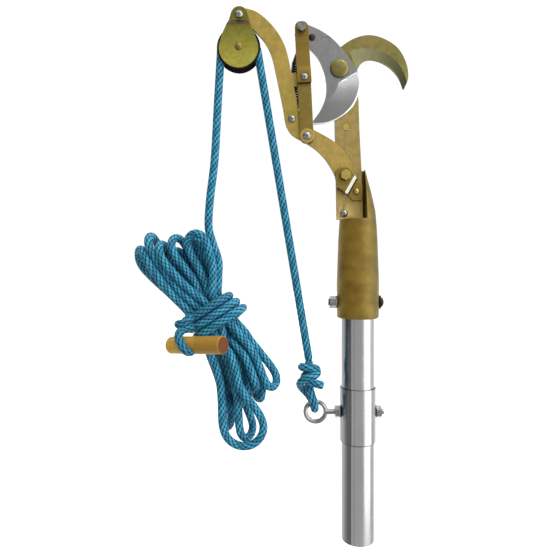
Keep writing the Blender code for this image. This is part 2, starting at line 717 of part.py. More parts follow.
def build_spring():
    """Extension spring: the coil hangs on the link, its drawn lower hook on the lever."""
    top = at(TAIL_PIVOT, SPRING_Y)
    bottom = at(SPRING_ANCHOR, SPRING_Y)
    axis = (top - bottom).normalized()
    side = Vector((axis.z, 0.0, -axis.x))
    depth = Vector((0.0, 1.0, 0.0))
    coil_low = 11.0 * MM
    coil_high = 82.0 * MM
    taper = 13.0 * MM
    per_turn = 10
    points = []
    for i in range(SPRING_TURNS * per_turn + 1):
        angle = 2 * math.pi * i / per_turn
        up = coil_low + (coil_high - coil_low) * i / (SPRING_TURNS * per_turn)
        radius = SPRING_R
        if up > coil_high - taper:
            radius -= (SPRING_R - 2.6 * MM) * (up - coil_high + taper) / taper
        spoke = side * math.cos(angle) + depth * math.sin(angle)
        points.append(bottom + axis * up + spoke * radius)
    loop_r = 4.6 * MM + GAP + SPRING_WIRE_R
    start = math.atan2(-axis.z, -axis.x)
    for i in range(1, 16):
        angle = start + math.radians(8 + 320 * (i - 1) / 14)
        points.append(top + Vector((math.cos(angle), 0.0, math.sin(angle))) * loop_r)
    finish(wire(points, SPRING_WIRE_R, 1), "return_spring", BLACKENED)

    hook_r = 3.9 * MM + GAP + SPRING_WIRE_R
    start = math.atan2(axis.z, axis.x)
    hook = [bottom + axis * (hook_r + 52.0 * MM * s) for s in (1.0, 0.66, 0.33, 0.0)]
    for i in range(15):
        angle = start + math.radians(18 + 305 * i / 14)
        hook.append(bottom + Vector((math.cos(angle), 0.0, math.sin(angle))) * hook_r)
    finish(wire(hook, SPRING_WIRE_R, 1), "spring_hook", BLACKENED)
    return [bpy.data.objects["return_spring"]], [bpy.data.objects["spring_hook"]]


# ---------------------------------------------------------------- pulley block

def build_block():
    """Two pear-shaped cheeks, stepped outward below the pin to clear the sheave."""
    centre = (SHEAVE_CENTRE[0], SHEAVE_CENTRE[1] - 1.5 * MM)
    # Both sides of the pear lean the same way from pin to bowl.
    neck_left = [(-148.2, 607.0), (-151.5, 596.0), (-156.6, 584.5)]
    neck_right = [(-120.4, 583.0), (-125.5, 596.0), (-128.2, 607.0)]
    bowl = arc(centre, 22.6 * MM, 168, 372, 22)
    crown = arc(BLOCK_PIN, 9.6 * MM, 20, 160, 7)
    outline = curve_through(neck_left, 3) + bowl + curve_through(neck_right, 3) + crown
    pieces = []
    for name, sign in (("cheek_front", -1), ("cheek_rear", 1)):
        cheek = plate(outline, CHEEK_T, PLATE_Y + sign * CHEEK_PIN_Y)
        joggle(cheek, (-138.0, 601.2), (-138.2, 594.2), sign * (CHEEK_Y - CHEEK_PIN_Y))
        drill_y(cheek, BLOCK_PIN, 3.3 * MM)
        drill_y(cheek, SHEAVE_CENTRE, 3.8 * MM)
        pieces.append(finish(cheek, name, ZINC))

    seat = PLATE_Y - CHEEK_PIN_Y - CHEEK_T / 2 - GAP
    pin = dome_bolt(
        "block_pin", BRIGHT, BLOCK_PIN, seat, 4.6 * MM, 2.8 * MM, 3.0 * MM, 15.5 * MM
    )
    back = PLATE_Y + CHEEK_PIN_Y + CHEEK_T / 2 + GAP
    nut = hex_nut(
        "block_pin_nut", ZINC, at(BLOCK_PIN, back), at(BLOCK_PIN, back + 4 * MM), 9.5 * MM, 3.3 * MM
    )
    face = CHEEK_Y + CHEEK_T / 2 + GAP
    front_head = dome_profile(4.2 * MM, 1.8 * MM, 3.5 * MM, 2 * face)
    rear_head = [(4.2 * MM * math.cos(a), -2 * face - 1.8 * MM * math.sin(a))
                 for a in np.linspace(0, math.pi / 2, 6)]
    profile = front_head[:-1] + rear_head
    seat = Matrix.Translation(at(SHEAVE_CENTRE, PLATE_Y - face)) @ ALONG_Y
    axle = finish(turned(profile, seat, 20), "sheave_axle", ZINC_BROWN)

    half = SHEAVE_W / 2
    groove_r = ROPE_R + 0.35 * MM
    groove = [
        (ROPE_PITCH_R - groove_r * math.cos(a), groove_r * math.sin(a))
        for a in np.linspace(-math.pi / 2, math.pi / 2, 9)
    ]
    bore = 3.8 * MM
    lip = half - 0.7 * MM
    profile = [(SHEAVE_R, half), (SHEAVE_R, lip)] + groove[::-1] + [(SHEAVE_R, -lip)]
    profile += [(SHEAVE_R, -half), (bore, -half), (bore, half)]
    seat = Matrix.Translation(at(SHEAVE_CENTRE, PLATE_Y)) @ ALONG_Y
    sheave = finish(turned(profile, seat, 36, closed=True), "sheave", SHEAVE_BLACK)
    return pieces + [pin, nut, axle], [sheave]


# ---------------------------------------------------------------- rope

def rope_run(points, count):
    """Evenly spaced points on a smooth curve through a route given in millimetres."""
    route = [np.array(q, float) for q in points]
    route = [2 * route[0] - route[1]] + route + [2 * route[-1] - route[-2]]
    fine = []
    for i in range(1, len(route) - 2):
        for t in np.linspace(0, 1, 24, endpoint=False):
            a = 2 * route[i]
            b = (route[i + 1] - route[i - 1]) * t
            c = (2 * route[i - 1] - 5 * route[i] + 4 * route[i + 1] - route[i + 2]) * t * t
            d = (3 * route[i] - route[i - 1] - 3 * route[i + 1] + route[i + 2]) * t ** 3
            fine.append((a + b + c + d) / 2)
    fine.append(route[-2])
    fine = np.array(fine)
    gone = np.concatenate([[0.0], np.cumsum(np.linalg.norm(np.diff(fine, axis=0), axis=1))])
    wanted = np.linspace(0, gone[-1], count)
    return [tuple(np.interp(w, gone, fine[:, k]) * MM for k in range(3)) for w in wanted]


def build_rope():
    sheave_y = PLATE_Y / MM
    sx, sz = SHEAVE_CENTRE[0] / MM, SHEAVE_CENTRE[1] / MM
    pitch = ROPE_PITCH_R / MM
    foot_x, foot_z = RUN_FOOT[0] / MM, RUN_FOOT[1] / MM

    # Tangent from the knot to the right side of the sheave.
    gap_x, gap_z = sx - foot_x, sz - foot_z
    far = math.hypot(gap_x, gap_z)
    heading = math.atan2(gap_z, gap_x) - math.asin(pitch / far)
    reach = math.sqrt(far ** 2 - pitch ** 2)
    leave = math.degrees(heading) - 90.0
    end_x = foot_x + reach * math.cos(heading)
    end_z = foot_z + reach * math.sin(heading)

    standing = rope_run(
        [
            (foot_x, 0.0, foot_z),
            (foot_x + (end_x - foot_x) * 0.5, sheave_y * 0.5, foot_z + (end_z - foot_z) * 0.5),
            (end_x, sheave_y, end_z),
        ],
        14,
    )
    run = finish(wire(standing, ROPE_R, 2), "rope_standing_run", ROPE_BLUE)

    over = [(x, PLATE_Y, z) for x, z in arc(SHEAVE_CENTRE, ROPE_PITCH_R, leave + 2.0, 178.0, 14)]
    wrap = finish(wire(over, ROPE_R, 2), "rope_over_sheave", ROPE_BLUE)

    left_top = sx - pitch
    left = rope_run(
        [
            (left_top, sheave_y, sz - 0.6),
            (left_top - 3.4, sheave_y, sz - 60.0),
            (left_top - 7.5, sheave_y, sz - 130.0),
            (-172.4, sheave_y, 392.0),
            (-173.5, HANK_Y / MM, 361.3),
        ],
        12,
    )
    fall = finish(wire(left, ROPE_R, 2), "rope_fall", ROPE_BLUE)

    # The hank: a bundle of bights, narrow where the toggle is tied.
    side_a = [(-260.0, 337.0), (-245.0, 355.0), (-222.0, 358.5), (-196.0, 360.5), (-170.0, 360.5)]
    side_b = [(-158.0, 350.0), (-153.0, 325.0), (-150.0, 304.0), (-139.0, 282.0), (-140.0, 262.0)]
    side_c = [(-122.0, 232.0), (-103.0, 208.0), (-92.5, 184.0), (-97.0, 160.0), (-105.0, 120.0)]
    side_d = [(-122.0, 108.5), (-146.0, 113.0), (-160.0, 130.0), (-164.0, 156.0), (-172.0, 190.0)]
    side_e = [(-184.0, 226.0), (-197.0, 258.0), (-217.0, 281.0), (-242.0, 307.0), (-260.0, 337.0)]
    outline = curve_through(side_a + side_b + side_c + side_d + side_e, 2)[:-1]
    hank = plate(outline, HANK_T, HANK_Y)
    finish(hank, "rope_hank", ROPE_BLUE)

    # The toggle hangs slewed in its tie, its right end towards the front and a little up.
    chamfer = 1.0 * MM
    profile = [
        (0.0, TOGGLE_RIGHT),
        (TOGGLE_R - chamfer, TOGGLE_RIGHT),
        (TOGGLE_R, TOGGLE_RIGHT - chamfer),
        (TOGGLE_R, -TOGGLE_LEFT + chamfer),
        (TOGGLE_R - chamfer, -TOGGLE_LEFT),
        (0.0, -TOGGLE_LEFT),
    ]
    tie = Matrix.Translation((TOGGLE_AT[0], TOGGLE_AT[1], TOGGLE_Z))
    slewed = tie @ Matrix.Rotation(TOGGLE_YAW, 4, "Z") @ Matrix.Rotation(-TOGGLE_TILT, 4, "Y")
    slewed = slewed @ ALONG_X
    toggle = finish(turned(profile, slewed, 28), "toggle_handle", WOOD)

    # The knot above the eye, and the loop that passes through the eye.
    knot_low, knot_high = 168.0, 203.0
    rise = (knot_high - knot_low) / 2
    profile = [
        (17.0 * math.cos(a) ** 0.8 * MM, rise * math.sin(a) * MM)
        for a in np.linspace(math.pi / 2, -math.pi / 2, 11)
    ]
    profile[0] = (0.0, rise * MM)
    profile[-1] = (0.0, -rise * MM)
    knot_at = Matrix.Translation((-56.8 * MM, 0.0, (knot_low + rise) * MM))
    finish(turned(profile, knot_at, 20), "rope_knot", ROPE_BLUE)
    loop = rope_run(
        [
            (-58.0, -6.9, 164.9),
            (-56.3, -7.9, 162.4),
            (-53.6, -8.3, 159.4),
            (-51.4, -7.0, 154.6),
            (-50.6, -3.9, 152.2),
            (-50.4, 0.0, 151.4),
            (-50.6, 3.9, 152.2),
            (-51.4, 7.0, 154.6),
            (-53.6, 8.3, 159.4),
            (-56.3, 7.9, 162.4),
            (-58.0, 6.9, 164.9),
        ],
        16,
    )
    finish(wire(loop, ROPE_R, 2), "rope_eye_loop", ROPE_BLUE)
    return [run], [wrap], [fall, hank, toggle]


def main():
    build_pole()
    build_casting()
    build_hook()
    blade = build_blade()
    lever = build_lever()
    link = build_link()
    coil, hook = build_spring()
    block, sheave = build_block()
    run, wrap, hank = build_rope()

    blade_axis = axis_empty("blade_axis", BLADE_PIVOT)
    lever_axis = axis_empty("lever_axis", LEVER_PIVOT)
    link_axis = axis_empty("link_axis", LINK_PIVOT)
    hook_axis = axis_empty("spring_hook_axis", SPRING_ANCHOR)
    block_axis = axis_empty("block_axis", BLOCK_PIN)
    sheave_axis = axis_empty("sheave_axis", SHEAVE_CENTRE, PLATE_Y)
    run_axis = axis_empty("rope_run_axis", RUN_FOOT)
    fall_axis = axis_empty("rope_fall_axis", SHEAVE_CENTRE, PLATE_Y)
    hang_on(blade_axis, blade)
    hang_on(lever_axis, lever + [link_axis, hook_axis, block_axis])
    hang_on(link_axis, link + coil)
    hang_on(hook_axis, hook)
    hang_on(block_axis, block + wrap + [sheave_axis, fall_axis])
    hang_on(sheave_axis, sheave)
    hang_on(run_axis, run)
    hang_on(fall_axis, hank)
    for obj in PARTS.objects:
        if obj.type == "MESH" and not obj.modifiers:
            smooth_round(obj)
    bpy.context.view_layer.update()


main()
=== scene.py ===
import json
import math

import bmesh
import bpy
import numpy as np
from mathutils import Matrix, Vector


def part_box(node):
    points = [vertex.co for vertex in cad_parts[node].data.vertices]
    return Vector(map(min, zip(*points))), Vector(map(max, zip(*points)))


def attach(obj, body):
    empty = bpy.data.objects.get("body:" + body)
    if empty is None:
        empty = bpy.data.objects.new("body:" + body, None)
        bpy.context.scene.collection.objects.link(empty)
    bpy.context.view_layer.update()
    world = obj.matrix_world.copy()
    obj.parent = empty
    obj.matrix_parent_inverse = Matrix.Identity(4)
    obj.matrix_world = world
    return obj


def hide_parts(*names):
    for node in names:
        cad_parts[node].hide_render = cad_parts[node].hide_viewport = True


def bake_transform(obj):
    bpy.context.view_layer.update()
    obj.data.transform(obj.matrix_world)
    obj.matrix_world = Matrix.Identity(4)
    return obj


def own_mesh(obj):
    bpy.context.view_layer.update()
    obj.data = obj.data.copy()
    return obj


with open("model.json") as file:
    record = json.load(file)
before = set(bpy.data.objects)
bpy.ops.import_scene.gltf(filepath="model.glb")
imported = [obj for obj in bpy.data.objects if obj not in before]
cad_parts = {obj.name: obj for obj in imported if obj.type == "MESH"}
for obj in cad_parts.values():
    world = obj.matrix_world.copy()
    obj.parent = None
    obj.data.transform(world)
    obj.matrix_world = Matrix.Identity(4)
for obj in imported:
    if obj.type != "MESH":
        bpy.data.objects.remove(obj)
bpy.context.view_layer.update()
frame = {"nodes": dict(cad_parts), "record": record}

MM = 0.001
X, Y, Z = 0, 1, 2
NODES = frame["nodes"]
BODY_OF = {
    node: body
    for body, members in frame["record"]["behaviour"]["bodies"].items()
    for node in members
}
SLOT_OF = {part["node"]: part["material_slot"] for part in frame["record"]["subparts"]}


def centre_of(node):
    """The middle of a CAD node's box, in millimetres."""
    low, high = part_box(node)
    return np.array((low + high) / 2) / MM


# ------------------------------------------------------------------ camera
# Level, in front of the space between hank and pole, about half a metre off.
lens = bpy.data.cameras.new("camera")
lens.sensor_width = 36.0
lens.lens = 30.77
camera = bpy.data.objects.new("camera", lens)
camera.location = (-0.0968, -0.550, 0.3077)
camera.rotation_euler = (math.pi / 2, 0.0, 0.0)
bpy.context.scene.collection.objects.link(camera)
bpy.context.scene.camera = camera


# ------------------------------------------------------------------ rope as a line
# All routes are in millimetres, in the object's frame.
ROPE_R = 4.75
ROPE_D = 2 * ROPE_R
STEP = 3.0
POINTS_PER_SPAN = 12

# How a packed hank settles: rope nearer along its own length than NEIGHBOUR isn't a turn of its
# own, and each round takes part of every overlap away, pulls the line home and smooths it.
NEIGHBOUR = 2.6 * ROPE_D
EASE = 0.6
HOMING = 0.012
SMOOTHING = 0.05
LONGEST_MOVE = 1.5
LEAST_DISTANCE = 0.1


def evenly(points, spacing=STEP):
    """The same line with its points a set distance apart."""
    points = np.array(points, float)
    gone = np.concatenate([[0.0], np.cumsum(np.linalg.norm(np.diff(points, axis=0), axis=1))])
    count = max(2, int(round(gone[-1] / spacing)) + 1)
    wanted = np.linspace(0.0, gone[-1], count)
    return np.stack([np.interp(wanted, gone, points[:, k]) for k in range(3)], axis=1)


def smooth_through(points, spacing=STEP):
    """A centripetal spline through a few given points."""
    p = [np.array(q, float) for q in points]
    p = [2 * p[0] - p[1]] + p + [2 * p[-1] - p[-2]]
    line = []
    for a, b, c, d in zip(p, p[1:], p[2:], p[3:]):
        t1 = np.linalg.norm(b - a) ** 0.5
        t2 = t1 + np.linalg.norm(c - b) ** 0.5
        t3 = t2 + np.linalg.norm(d - c) ** 0.5
        for t in np.linspace(t1, t2, POINTS_PER_SPAN, endpoint=False):
            ab = a + (b - a) * t / t1
            bc = b + (c - b) * (t - t1) / (t2 - t1)
            cd = c + (d - c) * (t - t2) / (t3 - t2)
            abc = ab + (bc - ab) * t / t2
            bcd = bc + (cd - bc) * (t - t1) / (t3 - t1)
            line.append(abc + (bcd - abc) * (t - t1) / (t2 - t1))
    line.append(p[-2])
    return evenly(line, spacing)


def settle(points, free, rounds):
    """Moves a rope's turns apart where they lie in each other, as a packed hank settles."""
    home = points.copy()
    order = np.arange(len(points))
    apart = np.abs(order[:, None] - order[None, :]) * STEP > NEIGHBOUR
    for _ in range(rounds):
        gap = points[:, None, :] - points[None, :, :]
        distance = np.linalg.norm(gap, axis=2)
        touching = apart & (distance < ROPE_D)
        divisor = 2 * np.maximum(distance, LEAST_DISTANCE)
        push = np.where(touching, (ROPE_D - distance) / divisor, 0.0)
        move = (gap * push[:, :, None]).sum(axis=1) * EASE
        move += HOMING * (home - points)
        move[1:-1] += SMOOTHING * (points[2:] + points[:-2] - 2 * points[1:-1])
        points = points + np.clip(move, -LONGEST_MOVE, LONGEST_MOVE) * free[:, None]
    return points


# ------------------------------------------------------------------ rope routes
SHEAVE = centre_of("sheave")
PITCH_R = 21.0
FOOT = np.array((-57.0, 0.0, 208.0))
HANK_Y = centre_of("rope_hank")[1]

foot_to_sheave = SHEAVE - FOOT
reach = math.hypot(foot_to_sheave[0], foot_to_sheave[2])
heading = math.atan2(foot_to_sheave[2], foot_to_sheave[0]) - math.asin(PITCH_R / reach)
straight = math.sqrt(reach ** 2 - PITCH_R ** 2)
LEAVE = heading - math.pi / 2
TANGENT = np.array(
    (FOOT[0] + straight * math.cos(heading), SHEAVE[1], FOOT[2] + straight * math.sin(heading))
)


def on_sheave(angle):
    return SHEAVE + PITCH_R * np.array((math.cos(angle), 0.0, math.sin(angle)))


# Knot to sheave, pulled straight.
standing_line = evenly([FOOT, TANGENT])

# From the foot of the straight run down through the knot, round the eye's wire, up, twice
# round itself and out to the cut tail.
knot_line = smooth_through([
    (-57.0, 0.0, 208.0), (-57.2, 0.4, 200.0), (-57.6, 0.4, 192.0), (-57.6, -0.8, 184.0),
    (-56.6, -4.2, 176.5), (-54.4, -7.6, 168.5), (-52.0, -8.4, 160.8), (-50.9, -5.8, 154.2),
    (-50.5, 0.0, 151.5), (-51.3, 5.8, 154.2), (-54.0, 8.8, 160.8), (-58.4, 9.2, 167.0),
    (-63.0, 8.2, 172.0), (-66.6, 4.2, 177.0), (-67.4, -2.6, 181.6), (-65.0, -8.6, 186.2),
    (-59.5, -11.2, 189.6), (-53.0, -10.8, 191.8), (-48.7, -6.2, 193.2), (-47.6, 0.4, 194.4),
    (-50.4, 6.8, 195.8), (-57.0, 9.6, 197.4), (-63.4, 6.2, 199.0), (-65.4, -0.4, 200.2),
    (-62.6, -6.8, 201.0), (-56.8, -9.6, 201.2), (-51.0, -8.0, 200.0), (-48.2, -1.8, 197.6),
    (-50.4, 5.4, 194.4), (-57.5, 8.4, 191.2), (-62.2, 3.6, 188.4), (-60.4, -5.5, 186.4),
    (-54.8, -11.8, 184.8), (-47.8, -14.0, 183.2), (-41.4, -14.8, 181.8),
], spacing=2.0)

# Over the sheave, from just past where the straight run ends, and down to the hank.
OVER_FROM = LEAVE + 0.035
OVER_TO = math.radians(178.0)
OVER_POINTS = 16
over_line = [on_sheave(angle) for angle in np.linspace(OVER_FROM, OVER_TO, OVER_POINTS)]
left_of_sheave = on_sheave(math.pi)
fall_line = [
    left_of_sheave + np.array((0.0, 0.0, -0.6)),
    left_of_sheave + np.array((-3.4, 0.0, -60.0)),
    left_of_sheave + np.array((-7.5, 0.0, -130.0)),
    (-172.4, SHEAVE[1], 392.0),
    (-173.5, HANK_Y, 361.3),
    (-168.6, HANK_Y - 1.0, 344.0),
    (-162.0, HANK_Y - 1.0, 322.0),
]

# The hank: rope folded to and fro into bights and tied round the waist.
WAIST = np.array((-167.5, 266.0))
ALONG = np.array((0.6, -0.8))
ACROSS = np.array((0.8, 0.6))
# Each strand in the rope's order: where it passes the waist (across, depth), where it fans
# out above the waist (across, depth), and where below (x, depth).
STRANDS = [
    ((16.7, 0.0), (34.0, 0.0), (-115.0, 0.0)),
    ((12.0, -8.4), (29.0, -9.0), (-121.0, -9.0)),
    ((7.2, 0.0), (14.0, -3.0), (-127.0, 0.0)),
    ((2.5, 8.4), (19.0, 10.0), (-133.0, 10.0)),
    ((12.0, 8.4), (24.0, 5.0), (-140.0, 8.0)),
    ((-7.0, 8.4), (9.5, 7.0), (-148.0, 11.0)),
    ((-2.3, 0.0), (2.5, -2.0), (-132.0, -9.0)),
    ((7.2, 16.8), (7.0, 16.0), (-138.0, 18.0)),
    ((-2.3, 16.8), (-1.0, 15.0), (-155.0, 17.0)),
    ((-16.5, 8.4), (-4.0, 8.0), (-142.0, -1.0)),
    ((2.5, -8.4), (-8.0, -9.0), (-152.0, -5.0)),
    ((-11.8, 0.0), (-13.0, 4.0), (-158.0, 4.0)),
    ((-7.0, -8.4), (-18.0, -8.0), (-146.0, -14.0)),
    ((-16.5, -8.4), (-23.5, -9.0), (-167.0, -9.0)),
    ((-21.0, 0.0), (-28.0, 3.0), (-171.0, 1.0)),
]


def in_hank(across, depth, along):
    """A point of the hank, from its waist: across it, back, and down along it."""
    x, z = WAIST + ACROSS * across + ALONG * along
    return (x, HANK_Y + depth, z)


def bight(apex, tilt, half, depth_in, depth_out, up):
    """One fold: half is how far the incoming leg stands right of the fold's own axis."""
    lean = math.radians(tilt)
    rise = 1.0 if up else -1.0
    axis = np.array((math.sin(lean), rise * math.cos(lean)))
    side = np.array((math.cos(lean), -rise * math.sin(lean)))
    radius = math.hypot(half, (depth_in - depth_out) / 2)
    middle = np.array(apex) - axis * radius
    fold = []
    for turn in np.linspace(0.0, math.pi, 7):
        x, z = middle + side * half * math.cos(turn) + axis * radius * math.sin(turn)
        depth = (depth_in + depth_out) / 2 + (depth_in - depth_out) / 2 * math.cos(turn)
        fold.append((x, HANK_Y + depth, z))
    return fold


# Along the hank: where its strands fan out above the waist, and the waist's two ends. The
# strands lean a little to the left on their way through it.
FAN_ALONG = -38.0
WAIST_TOP = -12.0
WAIST_FOOT = 14.0
LEAN_TOP = 3.0
LEAN_FOOT = 5.0
# The line, rising to the right, on which they fan out below it.
LOW_FAN_X = -143.0
LOW_FAN_Z = 215.0
LOW_FAN_RISE = 0.15


def through_waist(strand, down):
    (across, depth), (spread, layer), (low_x, low_layer) = STRANDS[strand]
    passing = [
        in_hank(spread, layer, FAN_ALONG),
        in_hank(across - LEAN_TOP, depth, WAIST_TOP),
        in_hank(across - LEAN_FOOT, depth, WAIST_FOOT),
        (low_x, HANK_Y + low_layer, LOW_FAN_Z + (low_x - LOW_FAN_X) * LOW_FAN_RISE),
    ]
    if strand == 0:
        # The rope comes in here from the fall, not from a fold.
        passing = passing[1:]
    return passing if down else passing[::-1]


# Each fold: its apex (x, z), tilt, half, depth of the leg in, depth of the leg out.
LOW_BIGHTS = [
    ((-98.0, 177.0), 17.0, 7.0, 8.0, -10.0),
    ((-114.0, 160.5), 26.0, 5.5, 0.0, 17.0),
    ((-124.0, 167.0), 26.0, 5.0, 2.0, 17.0),
    ((-119.0, 178.0), 33.0, 5.5, -14.0, 8.0),
    ((-139.0, 153.0), 10.0, -6.0, 18.0, 2.0),
    ((-128.0, 118.0), 8.0, -7.5, -9.0, 10.0),
    ((-132.7, 112.5), 0.0, 24.0, -13.0, -9.0),
    ((-152.6, 126.0), 2.0, -4.5, 4.0, 18.0),
]
HIGH_BIGHTS = [
    ((-189.5, 356.4), -12.0, 12.0, -13.0, -4.0),
    ((-189.5, 351.0), -12.0, -5.0, 17.0, 3.0),
    ((-212.7, 352.3), -15.0, 6.5, 17.0, -9.0),
    ((-216.0, 337.0), -20.0, 8.0, 20.0, 9.0),
    ((-229.0, 344.2), -22.0, 4.5, 14.0, -16.0),
    ((-241.1, 354.0), -12.0, 2.5, 16.0, -12.0),
    ((-254.0, 338.4), -18.0, 8.5, -12.0, 14.0),
]
# Extra places that a leg passes on its way between waist and lower fold.
LOW_LEGS = {
    10: [(-140.0, HANK_Y - 4.0, 176.0), (-138.5, HANK_Y - 7.0, 152.0)],
    11: [(-144.0, HANK_Y + 7.0, 172.0), (-130.0, HANK_Y + 9.0, 150.0)],
    12: [(-135.0, HANK_Y - 16.0, 178.0), (-121.0, HANK_Y - 15.0, 160.5),
         (-112.5, HANK_Y - 13.0, 147.0)],
    13: [(-160.0, HANK_Y - 9.0, 189.0), (-157.5, HANK_Y - 9.0, 163.0)],
    14: [(-163.0, HANK_Y + 3.0, 189.0), (-157.5, HANK_Y + 4.0, 163.0)],
}

hank_line = []
for strand in range(len(STRANDS)):
    down = strand % 2 == 0
    legs = through_waist(strand, down)
    extra = LOW_LEGS.get(strand, [])
    legs = legs + extra if down else extra[::-1] + legs
    hank_line += legs
    if down:
        hank_line += bight(*LOW_BIGHTS[strand // 2], up=False)
    else:
        hank_line += bight(*HIGH_BIGHTS[strand // 2], up=True)
# Up again in front to where the waist's turns begin.
hank_line += [
    (-151.0, HANK_Y + 15.0, 163.0),
    (-156.0, HANK_Y + 14.0, 190.0),
    (-166.0, HANK_Y + 14.0, 216.0),
]

# Nearly three turns round the waist, from its far lower side to its near upper one.
WRAP_ACROSS = 28.6
WRAP_DEPTH = 21.5
WRAP_MIDDLE = 3.0
WRAP_FIRST = 21.7
WRAP_PITCH = 10.4
WRAP_SHIFT = 2.2
WRAP_START = 160.0
WRAP_SWEEP = 1030.0
WRAP_STEP = 22.0
SQUARENESS = 2 / 2.5


def squared(value):
    """A sine or cosine drawn out, so that a turn is nearer a rounded box than an ellipse."""
    return math.copysign(abs(value) ** SQUARENESS, value)


for swept in np.arange(0.0, WRAP_SWEEP + 1.0, WRAP_STEP):
    angle = math.radians(WRAP_START - swept)
    turns = swept / 360.0
    hank_line.append(
        in_hank(
            WRAP_ACROSS * squared(math.cos(angle)) + WRAP_SHIFT * (1.0 - turns),
            WRAP_MIDDLE + WRAP_DEPTH * squared(math.sin(angle)),
            WRAP_FIRST - WRAP_PITCH * turns,
        )
    )

# A small turn in front, then across the slewed toggle.
TOGGLE_YAW = math.radians(-32.0)
TOGGLE_TILT = math.radians(4.5)
TOGGLE_ALONG = np.array((
    math.cos(TOGGLE_YAW) * math.cos(TOGGLE_TILT),
    math.sin(TOGGLE_YAW) * math.cos(TOGGLE_TILT),
    math.sin(TOGGLE_TILT),
))
TOGGLE_FORWARD = np.array((math.sin(TOGGLE_YAW), -math.cos(TOGGLE_YAW), 0.0))
TOGGLE_TIE = np.array((-187.0, -41.0, 231.8))
KNOT = np.array((-196.5, -32.5, 258.0))
KNOT_R = 6.5
KNOT_START = 90.0
KNOT_SWEEP = 540.0
KNOT_STEP = 30.0
KNOT_DROP = 9.5
for swept in np.arange(0.0, KNOT_SWEEP + 1.0, KNOT_STEP):
    angle = math.radians(KNOT_START - swept)
    drop = KNOT_DROP * swept / KNOT_SWEEP
    hank_line.append(
        KNOT + np.array((KNOT_R * math.cos(angle), KNOT_R * math.sin(angle), -drop))
    )
# Down across the toggle's front and into the wood (along, forward, up).
for along, forward, up in [
    (-8.0, 11.4, 13.0), (-5.0, 13.8, 7.0), (-0.8, 14.2, 1.0), (2.4, 12.2, -4.2),
    (4.2, 7.8, -6.4), (5.0, 1.5, -3.5),
]:
    hank_line.append(
        TOGGLE_TIE + TOGGLE_ALONG * along + TOGGLE_FORWARD * forward + np.array((0.0, 0.0, up))
    )

# The fall and the tie at the toggle hold still while the hank settles; their ends ease in
# over a few points.
FALL_FADE = 12.0
TIE_POINTS = 28.0
TIE_FADE = 10.0
ROUNDS = 70
before_hank = len(smooth_through(over_line + fall_line))
tied_line = smooth_through(over_line + fall_line + hank_line)
past_fall = np.arange(len(tied_line)) - before_hank
from_end = np.arange(len(tied_line))[::-1]
free = np.clip(past_fall / FALL_FADE, 0.0, 1.0)
free *= np.clip((from_end - TIE_POINTS) / TIE_FADE, 0.0, 1.0)
tied_line = evenly(settle(tied_line, free, ROUNDS))


# ------------------------------------------------------------------ rope as a solid
BRAID_LENGTH = 60.0
SIDES = 16
# A cut end is drawn in a little over its last half millimetre.
END_LENGTH = 0.5
END_TAPER = 0.78
NOT_ALONG_A_ROPE = (0.3, 1.0, 0.2)


def round_bar(name, points, bar_r=ROPE_R, sides=SIDES):
    """A round bar or rope along a line, with u round it and v along it for the braid."""
    tangent = np.gradient(points, axis=0)
    tangent /= np.linalg.norm(tangent, axis=1)[:, None]
    gone = np.concatenate([[0.0], np.cumsum(np.linalg.norm(np.diff(points, axis=0), axis=1))])
    normal = np.cross(tangent[0], NOT_ALONG_A_ROPE)
    verts = []
    for place, along, here in zip(points, tangent, gone):
        normal = normal - along * normal.dot(along)
        normal /= np.linalg.norm(normal)
        side = np.cross(along, normal)
        from_end = min(here, gone[-1] - here)
        radius = bar_r * (END_TAPER if from_end < END_LENGTH else 1.0)
        for k in range(sides):
            angle = 2 * math.pi * k / sides
            out = normal * math.cos(angle) + side * math.sin(angle)
            verts.append((place + out * radius) * MM)
    faces = []
    corners = []
    for row in range(len(points) - 1):
        here, there = row * sides, (row + 1) * sides
        for k in range(sides):
            n = (k + 1) % sides
            faces.append((here + k, here + n, there + n, there + k))
            corners.append(((k, row), (k + 1, row), (k + 1, row + 1), (k, row + 1)))
    last = (len(points) - 1) * sides
    faces.append(tuple(range(sides - 1, -1, -1)))
    faces.append(tuple(last + k for k in range(sides)))
    mesh = bpy.data.meshes.new(name)
    mesh.from_pydata(verts, [], faces)
    layer = mesh.uv_layers.new(name="braid")
    for polygon, places in zip(mesh.polygons, corners):
        for loop, (k, row) in zip(polygon.loop_indices, places):
            layer.data[loop].uv = (k / sides, gone[row] / BRAID_LENGTH)
    mesh.shade_smooth()
    rope = bpy.data.objects.new(name, mesh)
    bpy.context.scene.collection.objects.link(rope)
    return rope


knot_rope = round_bar("rope_knot_and_tail", knot_line)
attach(knot_rope, "root")
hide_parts("rope_knot", "rope_eye_loop")

standing_rope = round_bar("rope_standing", standing_line)
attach(standing_rope, "rope_run")
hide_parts("rope_standing_run")

tied_rope = round_bar("rope_fall_and_hank", tied_line)
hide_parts("rope_over_sheave", "rope_fall", "rope_hank")

# The run's way from knot to sheave, in the linkage's own plane; the run gets a mesh of its own.
along_run = (TANGENT - FOOT) * MM
along_run[1] = 0.0
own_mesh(standing_rope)
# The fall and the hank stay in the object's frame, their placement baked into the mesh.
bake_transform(tied_rope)


# ------------------------------------------------------------------ materials
def set_stops(marks, stops):
    """Puts a colour ramp's stops where they belong."""
    marks[1].position, marks[1].color = stops[-1]
    marks[0].position, marks[0].color = stops[0]
    for at, colour in stops[1:-1]:
        marks.new(at).color = colour


